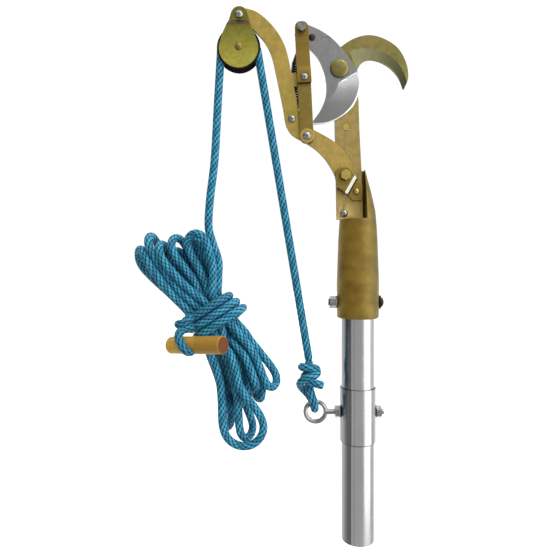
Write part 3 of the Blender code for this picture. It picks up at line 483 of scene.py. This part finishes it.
class Shader:
    """A Principled material with a few short ways to wire it."""

    def __init__(self, name, metallic=0.0, roughness=0.5, **more):
        self.material = bpy.data.materials.new(name)
        self.material.use_nodes = True
        self.tree = self.material.node_tree
        self.bsdf = self.tree.nodes["Principled BSDF"]
        self.bsdf.inputs["Metallic"].default_value = metallic
        self.bsdf.inputs["Roughness"].default_value = roughness
        for socket, value in more.items():
            self.bsdf.inputs[socket.replace("_", " ")].default_value = value

    def node(self, kind, settings=None, **inputs):
        """A node, its inputs given by name, or by number after an underscore."""
        made = self.tree.nodes.new("ShaderNode" + kind)
        for key, value in (settings or {}).items():
            setattr(made, key, value)
        for key, value in inputs.items():
            socket = made.inputs[int(key[1:]) if key[0] == "_" else key]
            if isinstance(value, bpy.types.NodeSocket):
                self.tree.links.new(value, socket)
            else:
                socket.default_value = value
        return made

    def place(self, stretch=(1.0, 1.0, 1.0)):
        where = self.node("TexCoord").outputs["Object"]
        return self.node("Mapping", None, Vector=where, Scale=stretch).outputs["Vector"]

    def noise(self, size_mm, detail=3.0, stretch=(1.0, 1.0, 1.0), roughness=0.5):
        """Noise whose patches are about size_mm across."""
        return self.node(
            "TexNoise", None, Vector=self.place(stretch), Scale=1000.0 / size_mm,
            Detail=detail, Roughness=roughness,
        ).outputs["Fac"]

    def ramp(self, value, stops):
        made = self.node("ValToRGB", None, Fac=value)
        set_stops(made.color_ramp.elements, [(at, (*colour, 1.0)) for at, colour in stops])
        return made.outputs["Color"]

    def span(self, value, low, high, to_low, to_high):
        return self.node(
            "MapRange", None, _0=value, _1=low, _2=high, _3=to_low, _4=to_high
        ).outputs[0]

    def math(self, operation, a, b=0.0):
        return self.node("Math", {"operation": operation}, _0=a, _1=b).outputs[0]

    def mix(self, fac, a, b, blend="MIX"):
        made = self.node("Mix", {"data_type": "RGBA", "blend_type": blend})
        for index, value in ((0, fac), (6, a), (7, b)):
            if isinstance(value, bpy.types.NodeSocket):
                self.tree.links.new(value, made.inputs[index])
            else:
                made.inputs[index].default_value = value if index == 0 else (*value, 1.0)
        return made.outputs[2]

    def along(self, axis):
        """How far along one axis of the object, in metres."""
        where = self.node("TexCoord").outputs["Object"]
        return self.node("SeparateXYZ", None, Vector=where).outputs[axis]

    def normals(self):
        """The three parts of the way that a face looks."""
        way = self.node("NewGeometry").outputs["Normal"]
        return self.node("SeparateXYZ", None, Vector=way).outputs

    def facing(self, axis):
        """How squarely a face looks up or down one axis, from 0 to 1."""
        return self.math("ABSOLUTE", self.normals()[axis])

    def band(self, value, low, high, edge):
        """1 from low to high, and 0 beyond an edge on either side."""
        rise = self.span(value, low - edge, low, 0.0, 1.0)
        return self.math("MULTIPLY", rise, self.span(value, high, high + edge, 1.0, 0.0))

    def colour(self, value):
        self.tree.links.new(value, self.bsdf.inputs["Base Color"])

    def colour_so_far(self):
        return self.bsdf.inputs["Base Color"].links[0].from_socket

    def tint_along(self, axis, low_mm, high_mm, near, far):
        """Multiplies the colour by a tint that changes along one axis of the object."""
        way = self.span(self.along(axis), low_mm * MM, high_mm * MM, 0.0, 1.0)
        tint = self.mix(way, near, far)
        self.colour(self.mix(1.0, self.colour_so_far(), tint, "MULTIPLY"))

    def rough(self, value):
        self.tree.links.new(value, self.bsdf.inputs["Roughness"])

    def bump(self, height, depth_mm):
        made = self.node("Bump", None, Strength=1.0, Distance=depth_mm * MM, Height=height)
        self.tree.links.new(made.outputs["Normal"], self.bsdf.inputs["Normal"])


ROLLED_ALONG_Z = (1.0, 1.0, 0.12)
ROLLED_ALONG_X = (0.12, 1.0, 1.0)


def zinc(name, pale, deep, roughness, rolled=ROLLED_ALONG_Z):
    """Chromated zinc plate: a tint that drifts gently, fine rolling lines, and cut edges darkened
    nearly black, partly their sheared finish and partly painted shade.
    """
    s = Shader(name, 0.9, roughness)
    drift = s.noise(60.0, 3.0, roughness=0.6)
    tint = s.mix(s.span(drift, 0.36, 0.64, 0.0, 1.0), deep, pale)
    streak = s.noise(1.3, 4.0, rolled)
    lined = s.mix(s.span(streak, 0.35, 0.65, 0.0, 0.16), tint, (0.15, 0.12, 0.04))
    # Side walls darkened nearly black: partly the sheared edge's own finish, partly painted shade
    # along the plates' outlines.
    edge_shade_and_shear = s.span(s.facing(Y), 0.45, 0.95, 0.92, 0.0)
    s.colour(s.mix(edge_shade_and_shear, lined, (0.045, 0.032, 0.010)))
    s.rough(s.span(s.noise(5.0, 5.0), 0.3, 0.7, roughness - 0.06, roughness + 0.12))
    s.bump(s.noise(0.9, 3.0), 0.02)
    return s


def yellow_zinc():
    return zinc("yellow_zinc", (0.55, 0.390, 0.108), (0.475, 0.360, 0.078), 0.38).material


def brown_plate(name):
    return zinc(name, (0.32, 0.215, 0.055), (0.26, 0.185, 0.040), 0.40)


def brown_zinc():
    return brown_plate("brown_zinc").material


def shaded_strap_zinc():
    """The link's upper strap: the same plating as the lower one, made a darker brown as painted
    shade.
    """
    return zinc("shaded_strap_zinc", (0.245, 0.160, 0.032), (0.20, 0.136, 0.024), 0.42).material


# A painted highlight crosses the strap on a slant along the fold: the way across it (x, z), and its
# sides, in metres.
FOLD_HIGHLIGHT_ACROSS = (0.87, -0.49)
FOLD_HIGHLIGHT_FROM = -0.2115
FOLD_HIGHLIGHT_TO = -0.2084
FOLD_HIGHLIGHT_EDGE = 0.0004


def strap_zinc():
    """The bolt support strap, with a painted highlight along the fold where it steps down."""
    s = brown_plate("strap_zinc")
    across = s.math("ADD", s.math("MULTIPLY", s.along(X), FOLD_HIGHLIGHT_ACROSS[0]),
                    s.math("MULTIPLY", s.along(Z), FOLD_HIGHLIGHT_ACROSS[1]))
    # A pale, less metallic band along the fold: a painted highlight.
    fold = s.band(across, FOLD_HIGHLIGHT_FROM, FOLD_HIGHLIGHT_TO, FOLD_HIGHLIGHT_EDGE)
    s.tree.links.new(s.span(fold, 0.0, 1.0, 0.9, 0.2), s.bsdf.inputs["Metallic"])
    s.colour(s.mix(fold, s.colour_so_far(), (0.88, 0.86, 0.78)))
    return s.material


def shaded_pivot_zinc():
    """The big pivot bolt: the same plating, darkened as painted shade."""
    return zinc("pivot_zinc", (0.26, 0.215, 0.075), (0.21, 0.180, 0.055), 0.34).material


AS_IT_IS = (1.0, 1.0, 1.0)


def hook_zinc():
    """The hook: painted shade darkens its arc towards the top and its right side, and painted light
    makes the shank's foot paler.
    """
    s = zinc("hook_zinc", (0.450, 0.322, 0.118), (0.400, 0.296, 0.092), 0.38)
    # Painted light makes the shank's foot paler against the shadow that falls there; painted shade
    # darkens the arc towards the top and the hook towards the right.
    s.tint_along(Z, 396.0, 414.0, (1.32, 1.32, 1.32), AS_IT_IS)
    s.tint_along(Z, 528.0, 556.0, AS_IT_IS, (0.60, 0.66, 0.62))
    s.tint_along(X, 22.0, 58.0, AS_IT_IS, (0.78, 0.90, 0.82))
    return s.material


def bevel_zinc():
    """The hook's bevel, ground before plating: greyer and greener than the rolled face."""
    s = zinc("bevel_zinc", (0.36, 0.35, 0.180), (0.30, 0.30, 0.144), 0.42)
    # Painted shade, darker towards the right.
    s.tint_along(X, 22.0, 58.0, AS_IT_IS, (0.50, 0.55, 0.52))
    return s.material


def cheek_zinc():
    """The pulley cheeks: greener, darker at the top and paler lower down at the bowl as painted
    shade and light, with a dark brown band over the step.
    """
    s = zinc("cheek_zinc", (0.42, 0.385, 0.085), (0.36, 0.350, 0.065), 0.36,
             ROLLED_ALONG_X)
    # Painted shade towards the top and painted light lower down, at the bowl.
    s.tint_along(Z, 596.0, 553.0, (0.50, 0.51, 0.44), (1.30, 1.27, 1.08))
    step = s.band(s.along(Z), 594.5 * MM, 600.0 * MM, 1.5 * MM)
    s.colour(s.mix(step, s.colour_so_far(), (0.085, 0.040, 0.014)))
    return s.material


def bright_zinc():
    """Bright zinc on bolts and nuts, clouded in small patches."""
    s = Shader("bright_zinc", 1.0, 0.25)
    s.colour(s.ramp(s.noise(4.0, 3.0), [(0.3, (0.22, 0.22, 0.215)), (0.7, (0.42, 0.42, 0.41))]))
    s.rough(s.span(s.noise(1.2, 4.0), 0.3, 0.7, 0.16, 0.36))
    s.bump(s.noise(0.8, 3.0), 0.03)
    return s.material


TUBE_R = 19.0 * MM


def aluminium():
    """The two tubes and their sleeve: drawn lines, painted shade and a painted highlight line across
    them, end faces darkened as painted shade, and a painted shadow with some dirt under the sleeve.
    """
    s = Shader("bare_aluminium", 1.0, 0.3)
    lines = s.noise(0.7, 3.0, (1.0, 1.0, 0.012))
    cloud = s.noise(30.0, 4.0)
    bare = s.mix(cloud, (0.68, 0.68, 0.695), (0.81, 0.81, 0.825))
    # Painted shade and a painted highlight across the tube: dark on the left with a bright line near
    # it, mid grey over the middle, darker at the right edge.
    shade_greys = [
        (0.0, 0.30), (0.22, 0.24), (0.25, 0.90), (0.28, 0.58),
        (0.36, 0.72), (0.80, 0.66), (0.88, 0.40), (1.0, 0.45),
    ]
    across = s.span(s.along(X), -TUBE_R, TUBE_R, 0.0, 1.0)
    painted_shading = s.ramp(across, [(at, (grey, grey, grey)) for at, grey in shade_greys])
    bare = s.mix(1.0, bare, painted_shading, "MULTIPLY")
    # The end faces are darkened as painted shade.
    ends_shaded = s.mix(s.span(s.facing(Z), 0.15, 0.5, 0.0, 0.85), bare, (0.07, 0.07, 0.07))
    # A painted shadow, with some dirt, just under the sleeve.
    height = s.along(Z)
    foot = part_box("coupling_sleeve")[0].z
    shadow_and_dirt = s.math("MULTIPLY",
                   s.span(height, foot - 2.2 * MM, foot - 1.0 * MM, 0.0, 0.8),
                   s.span(height, foot - 0.1 * MM, foot + 0.1 * MM, 1.0, 0.0))
    s.colour(s.mix(shadow_and_dirt, ends_shaded, (0.05, 0.05, 0.05)))
    s.rough(s.span(s.mix(0.5, lines, cloud), 0.3, 0.7, 0.18, 0.32))
    s.bump(lines, 0.03)
    return s.material


def cast_paint():
    """Gold paint over a sand casting, brighter and browner on the left and darker and greyer on the
    right as painted light and shade.
    """
    s = Shader("cast_paint", 0.40, 0.45)
    cloud = s.noise(14.0, 4.0)
    s.colour(s.ramp(cloud, [
        (0.30, (0.165, 0.108, 0.012)), (0.50, (0.215, 0.150, 0.022)), (0.72, (0.27, 0.20, 0.042)),
    ]))
    # Painted light and shade: brighter and browner on the left, darker and greyer on the right.
    s.tint_along(X, -18.0, 20.0, (1.28, 1.08, 0.55), (0.66, 0.68, 0.48))
    s.rough(s.span(s.noise(2.4, 5.0), 0.3, 0.7, 0.34, 0.58))
    grain = s.mix(0.4, s.noise(1.1, 4.0, roughness=0.65), s.noise(5.0, 3.0))
    s.bump(grain, 0.32)
    return s.material


def blade_steel():
    """The blade's own face, as hardened: plain grey with fine rolling lines."""
    s = Shader("blade_steel", 1.0, 0.36)
    lines = s.noise(0.8, 4.0, (1.0, 1.0, 0.06))
    cloud = s.noise(22.0, 3.0)
    s.colour(s.mix(s.mix(0.5, cloud, lines), (0.224, 0.224, 0.224), (0.325, 0.325, 0.325)))
    s.rough(s.span(lines, 0.3, 0.7, 0.30, 0.46))
    s.bump(lines, 0.025)
    return s.material


def ground_steel():
    """The ground face: fine lines across it, and a painted highlight that brightens it at the heel
    and fades towards the tip.
    """
    s = Shader("ground_steel", 1.0, 0.26)
    lines = s.noise(0.9, 2.0, (0.12, 1.0, 1.0))
    way = s.span(s.along(Z), 506.0 * MM, 541.0 * MM, 0.0, 1.0)
    # A painted highlight that rises along the face towards the heel.
    heel_highlight = s.ramp(way, [
        (0.0, (0.34, 0.34, 0.345)), (0.45, (0.46, 0.46, 0.465)), (0.75, (0.74, 0.745, 0.75)),
        (1.0, (0.92, 0.925, 0.93)),
    ])
    s.colour(s.mix(s.span(lines, 0.3, 0.7, 0.0, 0.22), heel_highlight, (0.12, 0.12, 0.125)))
    s.rough(s.span(lines, 0.3, 0.7, 0.24, 0.34))
    return s.material


def honed_edge_glint():
    """The narrow honed strip along the cutting edge, painted near white as a painted highlight."""
    s = Shader("honed_edge_glint", 0.35, 0.4)
    s.colour(s.mix(s.noise(2.0, 3.0), (0.80, 0.80, 0.80), (0.95, 0.95, 0.95)))
    return s.material


def black_oxide():
    """Oiled black oxide with a trace of rust."""
    s = Shader("black_oxide", 0.7, 0.42)
    s.colour(s.ramp(s.noise(4.0, 3.0), [(0.3, (0.012, 0.009, 0.008)), (0.7, (0.06, 0.035, 0.022))]))
    s.bump(s.noise(0.6, 3.0), 0.03)
    return s.material


def sheave_black():
    """The sheave's dull black plastic."""
    s = Shader("sheave_black", 0.0, 0.55, Specular_IOR_Level=0.2)
    s.colour(s.ramp(s.noise(6.0, 3.0), [(0.3, (0.004, 0.004, 0.004)), (0.7, (0.012, 0.011, 0.010))]))
    s.bump(s.noise(0.7, 3.0), 0.05)
    return s.material


def toggle_wood():
    """Varnished yellow wood, its grain along the toggle."""
    s = Shader("toggle_wood", 0.0, 0.5, Specular_IOR_Level=0.25)
    grain = s.noise(2.2, 6.0, (0.05, 1.0, 1.0), 0.62)
    cloud = s.noise(18.0, 3.0, (0.4, 1.0, 1.0))
    long_way = s.ramp(grain, [
        (0.30, (0.40, 0.215, 0.022)), (0.48, (0.60, 0.360, 0.050)), (0.68, (0.71, 0.465, 0.095)),
    ])
    tinted = s.mix(s.span(cloud, 0.35, 0.65, 0.0, 0.45), long_way, (0.50, 0.35, 0.035))
    # The right half is darker, its sawn end most of all.
    right = s.span(s.along(X), -196.0 * MM, -180.0 * MM, 0.0, 0.78)
    darker_right = s.mix(right, tinted, (0.34, 0.170, 0.020))
    normals = s.normals()
    endwise = s.math("ADD", s.math("MULTIPLY", normals[X], math.cos(TOGGLE_YAW)),
                     s.math("MULTIPLY", normals[Y], math.sin(TOGGLE_YAW)))
    sawn = s.span(endwise, 0.80, 0.95, 0.0, 1.0)
    s.colour(s.mix(sawn, darker_right, (0.15, 0.042, 0.004)))
    s.rough(s.span(grain, 0.3, 0.7, 0.42, 0.6))
    s.bump(grain, 0.12)
    return s.material


BRAID_STRANDS = 6.0
BRAID_ROWS = 8.5


def rope_blue():
    """Solid braid: rows of long stitches, half a stitch out of step, with a dark tracer; the gaps
    between stitches are painted shade, and the pale fibre flecks are partly fuzz and partly painted
    highlight.
    """
    s = Shader("rope_blue", 0.0, 0.62, Sheen_Weight=0.06, Sheen_Roughness=0.4,
               Specular_IOR_Level=0.28)
    split = s.node("SeparateXYZ", None, Vector=s.node("UVMap", {"uv_map": "braid"}).outputs["UV"])
    around = s.math("MULTIPLY", split.outputs[0], BRAID_STRANDS)
    along = s.math("MULTIPLY", split.outputs[1], BRAID_ROWS)
    left = s.math("ADD", around, along)
    right = s.math("SUBTRACT", around, along)

    def ridge(value):
        return s.math("ABSOLUTE", s.math("SINE", s.math("MULTIPLY", value, math.pi)))

    broken = s.span(ridge(left), 0.0, 1.0, 0.45, 1.0)
    height = s.math("MULTIPLY", s.math("POWER", ridge(right), 0.6), broken)
    # Every third row is the darker tracer; the sum keeps the count above zero.
    third = s.math("MODULO", s.math("ADD", s.math("FLOOR", right), 600.0), 3.0)
    tracer = s.math("LESS_THAN", third, 0.5)
    soft = s.noise(9.0, 3.0)
    fibre_and_glint = s.noise(0.5, 2.0)
    light = s.mix(soft, (0.013, 0.215, 0.385), (0.030, 0.330, 0.530))
    # Fine flecks mixed paler: partly fibre fuzz, partly painted highlight.
    light = s.mix(s.span(fibre_and_glint, 0.35, 0.65, 0.0, 0.4), light, (0.120, 0.58, 0.76))
    shaded = s.mix(s.math("MULTIPLY", tracer, 0.42), light, (0.003, 0.060, 0.140))
    # The gaps between stitches are darkened nearly black: painted shade.
    s.colour(s.mix(s.span(height, 0.34, 0.66, 0.0, 1.0), (0.0010, 0.014, 0.036), shaded))
    s.bump(s.math("ADD", height, s.math("MULTIPLY", fibre_and_glint, 0.15)), 0.6)
    return s.material


FINISH = {
    "yellow_zinc": yellow_zinc(),
    "brown_zinc": brown_zinc(),
    "bright_zinc": bright_zinc(),
    "black_oxide": black_oxide(),
    "bare_aluminium": aluminium(),
    "cast_paint": cast_paint(),
    "blade_steel": blade_steel(),
    "sheave_black": sheave_black(),
    "rope_blue": rope_blue(),
    "toggle_wood": toggle_wood(),
}
BEVEL = bevel_zinc()
GROUND = ground_steel()
HONED_GLINT = honed_edge_glint()
FINISH_OF = {
    "cheek_front": cheek_zinc(),
    "hook_plate": hook_zinc(),
    "blade_pivot_bolt": shaded_pivot_zinc(),
    "bolt_support_strap": strap_zinc(),
    "link_upper_strap": shaded_strap_zinc(),
}
FINISH_OF["cheek_rear"] = FINISH_OF["cheek_front"]
for rope in (knot_rope, standing_rope, tied_rope):
    rope.data.materials.append(FINISH["rope_blue"])


# ------------------------------------------------------------------ worked copies of CAD pieces
WELD = 0.002 * MM
ON_PLANE = 0.0001 * MM
ONE_FACE = math.radians(0.6)
CAD_EDGE = math.radians(32.0)
CARVED_EDGE = math.radians(14.0)
LOOKS_ALONG_Y = 0.9995


def flat_faces_flat(piece):
    """Large faces keep their own normals, and the small rounds between them take up the turn."""
    weighted = piece.modifiers.new("weighted", "WEIGHTED_NORMAL")
    weighted.keep_sharp = True
    weighted.weight = 90


def rounded_copy(node, edge_mm):
    """The CAD shape with its sharp edges broken, as stamping, casting or turning leaves them."""
    mesh = NODES[node].data.copy()
    mesh.name = node + "_worked"
    shape = bmesh.new()
    shape.from_mesh(mesh)
    bmesh.ops.remove_doubles(shape, verts=shape.verts, dist=WELD)
    bmesh.ops.dissolve_limit(
        shape, angle_limit=ONE_FACE, verts=shape.verts, edges=shape.edges
    )
    sharp = [
        e for e in shape.edges
        if len(e.link_faces) == 2 and e.calc_face_angle(0.0) > CAD_EDGE
    ]
    if edge_mm:
        bmesh.ops.bevel(
            shape, geom=sharp, offset=edge_mm * MM, segments=2, profile=0.5,
            affect="EDGES", clamp_overlap=True,
        )
    shape.to_mesh(mesh)
    shape.free()
    mesh.shade_smooth()
    mesh.set_sharp_from_angle(angle=CAD_EDGE)
    piece = bpy.data.objects.new(node + "_worked", mesh)
    bpy.context.scene.collection.objects.link(piece)
    flat_faces_flat(piece)
    mesh.materials.clear()
    mesh.materials.append(FINISH_OF.get(node, FINISH[SLOT_OF[node]]))
    return piece


def stand_in(piece, node):
    """Puts a piece in a CAD node's place, on its body, and hides the node."""
    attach(piece, BODY_OF[node])
    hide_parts(node)
    return piece


def carve(piece, cutter):
    """Takes the cutter's volume out of a piece; the new faces bring the cutter's materials."""
    cut = piece.modifiers.new("cut", "BOOLEAN")
    cut.operation = "DIFFERENCE"
    cut.solver = "EXACT"
    cut.material_mode = "TRANSFER"
    cut.object = cutter
    graph = bpy.context.evaluated_depsgraph_get()
    result = bpy.data.meshes.new_from_object(piece.evaluated_get(graph))
    piece.modifiers.clear()
    piece.data = result
    result.shade_smooth()
    result.set_sharp_from_angle(angle=CARVED_EDGE)
    for polygon in result.polygons:
        if abs(polygon.normal.y) > LOOKS_ALONG_Y:
            polygon.use_smooth = False
    bpy.data.objects.remove(cutter)
    return piece


def solid_between(name, rings, annular=False):
    """A closed loft through rings of equal count, in millimetres, with ends or back to its start."""
    count = len(rings[0])
    verts = [Vector(p) * MM for ring in rings for p in ring]
    faces = []
    for row in range(len(rings) if annular else len(rings) - 1):
        here, there = row * count, (row + 1) % len(rings) * count
        for k in range(count):
            n = (k + 1) % count
            faces.append((here + k, here + n, there + n, there + k))
    if not annular:
        faces.append(tuple(range(count))[::-1])
        faces.append(tuple((len(rings) - 1) * count + k for k in range(count)))
    mesh = bpy.data.meshes.new(name)
    mesh.from_pydata(verts, [], faces)
    shape = bmesh.new()
    shape.from_mesh(mesh)
    bmesh.ops.recalc_face_normals(shape, faces=shape.faces)
    shape.to_mesh(mesh)
    shape.free()
    made = bpy.data.objects.new(name, mesh)
    bpy.context.scene.collection.objects.link(made)
    return made


SHAPED_APART = ("cutting_blade", "hook_plate", "return_spring")
EDGE_MM = {
    "yellow_zinc": 0.55, "brown_zinc": 0.45, "bright_zinc": 0.3, "black_oxide": 0.0,
    "bare_aluminium": 0.6, "cast_paint": 0.9, "blade_steel": 0.25, "sheave_black": 0.4,
    "toggle_wood": 0.8,
}
EDGE_OF = {
    "side_lever": 1.2, "cheek_front": 0.8, "cheek_rear": 0.8, "sheave_axle": 0.3,
    "link_upper_strap": 0.7, "link_lower_strap": 0.7, "hook_plate": 0.4,
}
for node in NODES:
    if SLOT_OF[node] != "rope_blue" and node not in SHAPED_APART:
        copy = rounded_copy(node, EDGE_OF.get(node, EDGE_MM[SLOT_OF[node]]))
        stand_in(copy, node)


RING_POINTS = 120


def ring(middle, radius, y):
    """A circle in a plane across Y."""
    angles = [2 * math.pi * k / RING_POINTS for k in range(RING_POINTS)]
    return [
        (middle[0] + radius * math.cos(angle), y, middle[1] + radius * math.sin(angle))
        for angle in angles
    ]


def keep_side(cutter, point, normal):
    """Cuts a cutter down to the side of a plane that its normal points away from."""
    shape = bmesh.new()
    shape.from_mesh(cutter.data)
    cut = bmesh.ops.bisect_plane(
        shape, geom=shape.verts[:] + shape.edges[:] + shape.faces[:], dist=ON_PLANE,
        plane_co=Vector(point) * MM, plane_no=Vector(normal), clear_outer=True,
    )
    open_edges = [e for e in cut["geom_cut"] if isinstance(e, bmesh.types.BMEdge)]
    bmesh.ops.contextual_create(shape, geom=open_edges)
    bmesh.ops.recalc_face_normals(shape, faces=shape.faces)
    shape.to_mesh(cutter.data)
    shape.free()
    return cutter


BLADE_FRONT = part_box("cutting_blade")[0].y / MM
# The hollow is turned about one centre; by radius, how deep it goes.
GRIND = (-47.5, 532.5)
GRIND_OUTER = 56.0
HONED_FROM = 48.4
HOLLOW = [
    (24.0, 0.0), (30.0, 1.0), (36.0, 1.8), (42.0, 2.4), (HONED_FROM, 2.9), (GRIND_OUTER, 6.4),
]
# It stops short of the pivot, at a slanted line that rises towards the hook.
GRIND_END = (-1.5, 0.0, 543.0)
GRIND_END_WAY = (-13.5, 0.0, 22.5)


def ground_blade():
    """The blade, hollow-ground on its front from the heel to the convex cutting edge."""
    blade = rounded_copy("cutting_blade", EDGE_MM["blade_steel"])
    clear = BLADE_FRONT - 1.0
    rings = [ring(GRIND, GRIND_OUTER, clear), ring(GRIND, HOLLOW[0][0] - 1.0, clear)]
    rings += [ring(GRIND, radius, BLADE_FRONT + sunk) for radius, sunk in HOLLOW]
    grinder = solid_between("grinder", rings, annular=True)
    grinder.data.materials.append(GROUND)
    grinder.data.materials.append(HONED_GLINT)
    for polygon in grinder.data.polygons:
        middle = polygon.center / MM
        outward = math.hypot(middle.x - GRIND[0], middle.z - GRIND[1])
        polygon.material_index = 1 if outward > HONED_FROM and middle.y > BLADE_FRONT else 0
    keep_side(grinder, GRIND_END, GRIND_END_WAY)
    return carve(blade, grinder)


# The hook's bevel is a leaning cone: by depth from the plate's front, its centre and radius.
BEVEL_CONE = [(-1.0, (8.0, 523.2), 51.3), (0.0, (9.0, 523.0), 48.5), (4.0, (15.0, 522.0), 37.2)]
# It ends towards the shank at a slanted line.
BEVEL_END = (-1.0, 0.0, 545.0)
BEVEL_END_WAY = (-27.0, 0.0, -11.0)


def bevelled_hook():
    """The hook, its inner edge bevelled from the front."""
    hook = rounded_copy("hook_plate", EDGE_OF["hook_plate"])
    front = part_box("hook_plate")[0].y / MM
    rings = [ring(middle, radius, front + depth) for depth, middle, radius in BEVEL_CONE]
    cutter = solid_between("hook_cutter", rings)
    cutter.data.materials.append(BEVEL)
    keep_side(cutter, BEVEL_END, BEVEL_END_WAY)
    return carve(hook, cutter)


def close_spring():
    """The return spring: a close coil on the link's side, drawn in to its eye at the top."""
    top = centre_of("tail_bolt")
    bottom = centre_of("anchor_bolt")
    low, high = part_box("return_spring")
    middle_y = (low.y + high.y) / 2 / MM
    top[1] = bottom[1] = middle_y
    axis = (top - bottom) / np.linalg.norm(top - bottom)
    side = np.array((axis[2], 0.0, -axis[0]))
    depth = np.array((0.0, 1.0, 0.0))
    wire_r = 1.25
    coil_r = 6.0
    drawn_in = 3.4
    coil_low, coil_high, taper = 11.0, 82.0, 13.0
    turns = 24
    per_turn = 20
    line = []
    for i in range(turns * per_turn + 1):
        angle = 2 * math.pi * i / per_turn
        up = coil_low + (coil_high - coil_low) * i / (turns * per_turn)
        radius = coil_r
        if up > coil_high - taper:
            radius -= drawn_in * (up - coil_high + taper) / taper
        line.append(
            bottom + axis * up + (side * math.cos(angle) + depth * math.sin(angle)) * radius
        )
    # Its upper end is an open eye round the tail bolt.
    eye_r = 6.1
    start = math.atan2(-axis[2], -axis[0])
    for opened in np.linspace(8.0, 328.0, 24):
        angle = start + math.radians(opened)
        line.append(top + np.array((math.cos(angle), 0.0, math.sin(angle))) * eye_r)
    return round_bar("return_spring_coil", np.array(line), bar_r=wire_r, sides=8)


stand_in(ground_blade(), "cutting_blade")
spring = close_spring()
spring.data.materials.append(FINISH["black_oxide"])
stand_in(spring, "return_spring")
stand_in(bevelled_hook(), "hook_plate")


# ------------------------------------------------------------------ stage
FLOOR_Z = -0.75
FLOOR_HALF = 30.0
# Along Y the floor goes from mid grey in front to white behind.
GREY_UNTIL = -0.3
WHITE_FROM = 1.25


def stage():
    """A plain floor, far enough down for the hank to drop."""
    mesh = bpy.data.meshes.new("floor")
    half = FLOOR_HALF
    mesh.from_pydata(
        [(-half, -half, 0), (half, -half, 0), (half, half, 0), (-half, half, 0)], [], [(0, 1, 2, 3)]
    )
    floor = bpy.data.objects.new("floor", mesh)
    floor.location = (0.0, 0.0, FLOOR_Z)
    bpy.context.scene.collection.objects.link(floor)
    s = Shader("floor", 0.0, 0.9)
    behind = s.span(s.along(Y), GREY_UNTIL, WHITE_FROM, 0.0, 1.0)
    behind.node.interpolation_type = "SMOOTHSTEP"
    pale = s.mix(s.noise(400.0, 2.0), (0.94, 0.94, 0.94), (0.96, 0.96, 0.96))
    s.colour(s.mix(behind, (0.42, 0.42, 0.42), pale))
    glow = s.mix(behind, (0.0, 0.0, 0.0), (1.0, 1.0, 1.0))
    s.tree.links.new(glow, s.bsdf.inputs["Emission Color"])
    s.bsdf.inputs["Emission Strength"].default_value = 0.35
    mesh.materials.append(s.material)


def lamp(name, kind, place, aim, energy, **settings):
    data = bpy.data.lights.new(name, kind)
    data.energy = energy
    for key, value in settings.items():
        setattr(data, key, value)
    made = bpy.data.objects.new(name, data)
    made.location = place
    made.rotation_euler = (Vector(aim) - Vector(place)).to_track_quat("-Z", "Y").to_euler()
    bpy.context.scene.collection.objects.link(made)


def lights():
    """A weak sun, a softbox on the right and a studio round the object."""
    middle = (-0.09, 0.0, 0.32)
    lamp("sun", "SUN", (0.5, -1.0, 1.6), middle, 0.7, angle=math.radians(12.0))
    lamp(
        "right_softbox", "AREA", (1.20, -0.70, 0.4), middle, 20.0,
        shape="RECTANGLE", size=1.4, size_y=2.4,
    )
    world = bpy.data.worlds.new("studio")
    bpy.context.scene.world = world
    world.use_nodes = True
    tree = world.node_tree
    way = tree.nodes.new("ShaderNodeTexCoord").outputs["Generated"]
    x, y, z = tree.nodes.new("ShaderNodeSeparateXYZ").outputs
    tree.links.new(way, x.node.inputs[0])

    def ramp(value, stops):
        """Brightness by how far a direction points along one axis, from -1 to 1."""
        scaled = tree.nodes.new("ShaderNodeMapRange")
        scaled.inputs[1].default_value = -1.0
        tree.links.new(value, scaled.inputs[0])
        made = tree.nodes.new("ShaderNodeValToRGB")
        set_stops(
            made.color_ramp.elements,
            [((at + 1.0) / 2.0, (grey, grey, grey, 1.0)) for at, grey in stops],
        )
        tree.links.new(scaled.outputs[0], made.inputs[0])
        return made.outputs["Color"]

    def mixed(fac, a, b):
        """Two brightnesses or colours, mixed."""
        made = tree.nodes.new("ShaderNodeMix")
        made.data_type = "RGBA"
        tree.links.new(fac, made.inputs[0])
        for socket, value in ((made.inputs[6], a), (made.inputs[7], b)):
            if isinstance(value, bpy.types.NodeSocket):
                tree.links.new(value, socket)
            else:
                socket.default_value = (value, value, value, 1.0)
        return made.outputs[2]

    # Dark on the left, mid grey in front, pale on the right, white behind and overhead.
    sides = ramp(x, [
        (-1.0, 0.24), (-0.74, 0.24), (-0.71, 1.0), (-0.67, 1.0), (-0.64, 0.42), (0.3, 0.58),
        (0.75, 0.80), (1.0, 0.70),
    ])
    with_back = mixed(ramp(y, [(0.66, 0.0), (0.76, 1.0)]), sides, 1.05)
    overhead = mixed(ramp(z, [(0.62, 0.0), (0.85, 1.0)]), with_back, 1.5)
    background = tree.nodes["Background"]
    tree.links.new(overhead, background.inputs["Color"])


stage()
lights()
bpy.context.scene.view_settings.view_transform = "Standard"
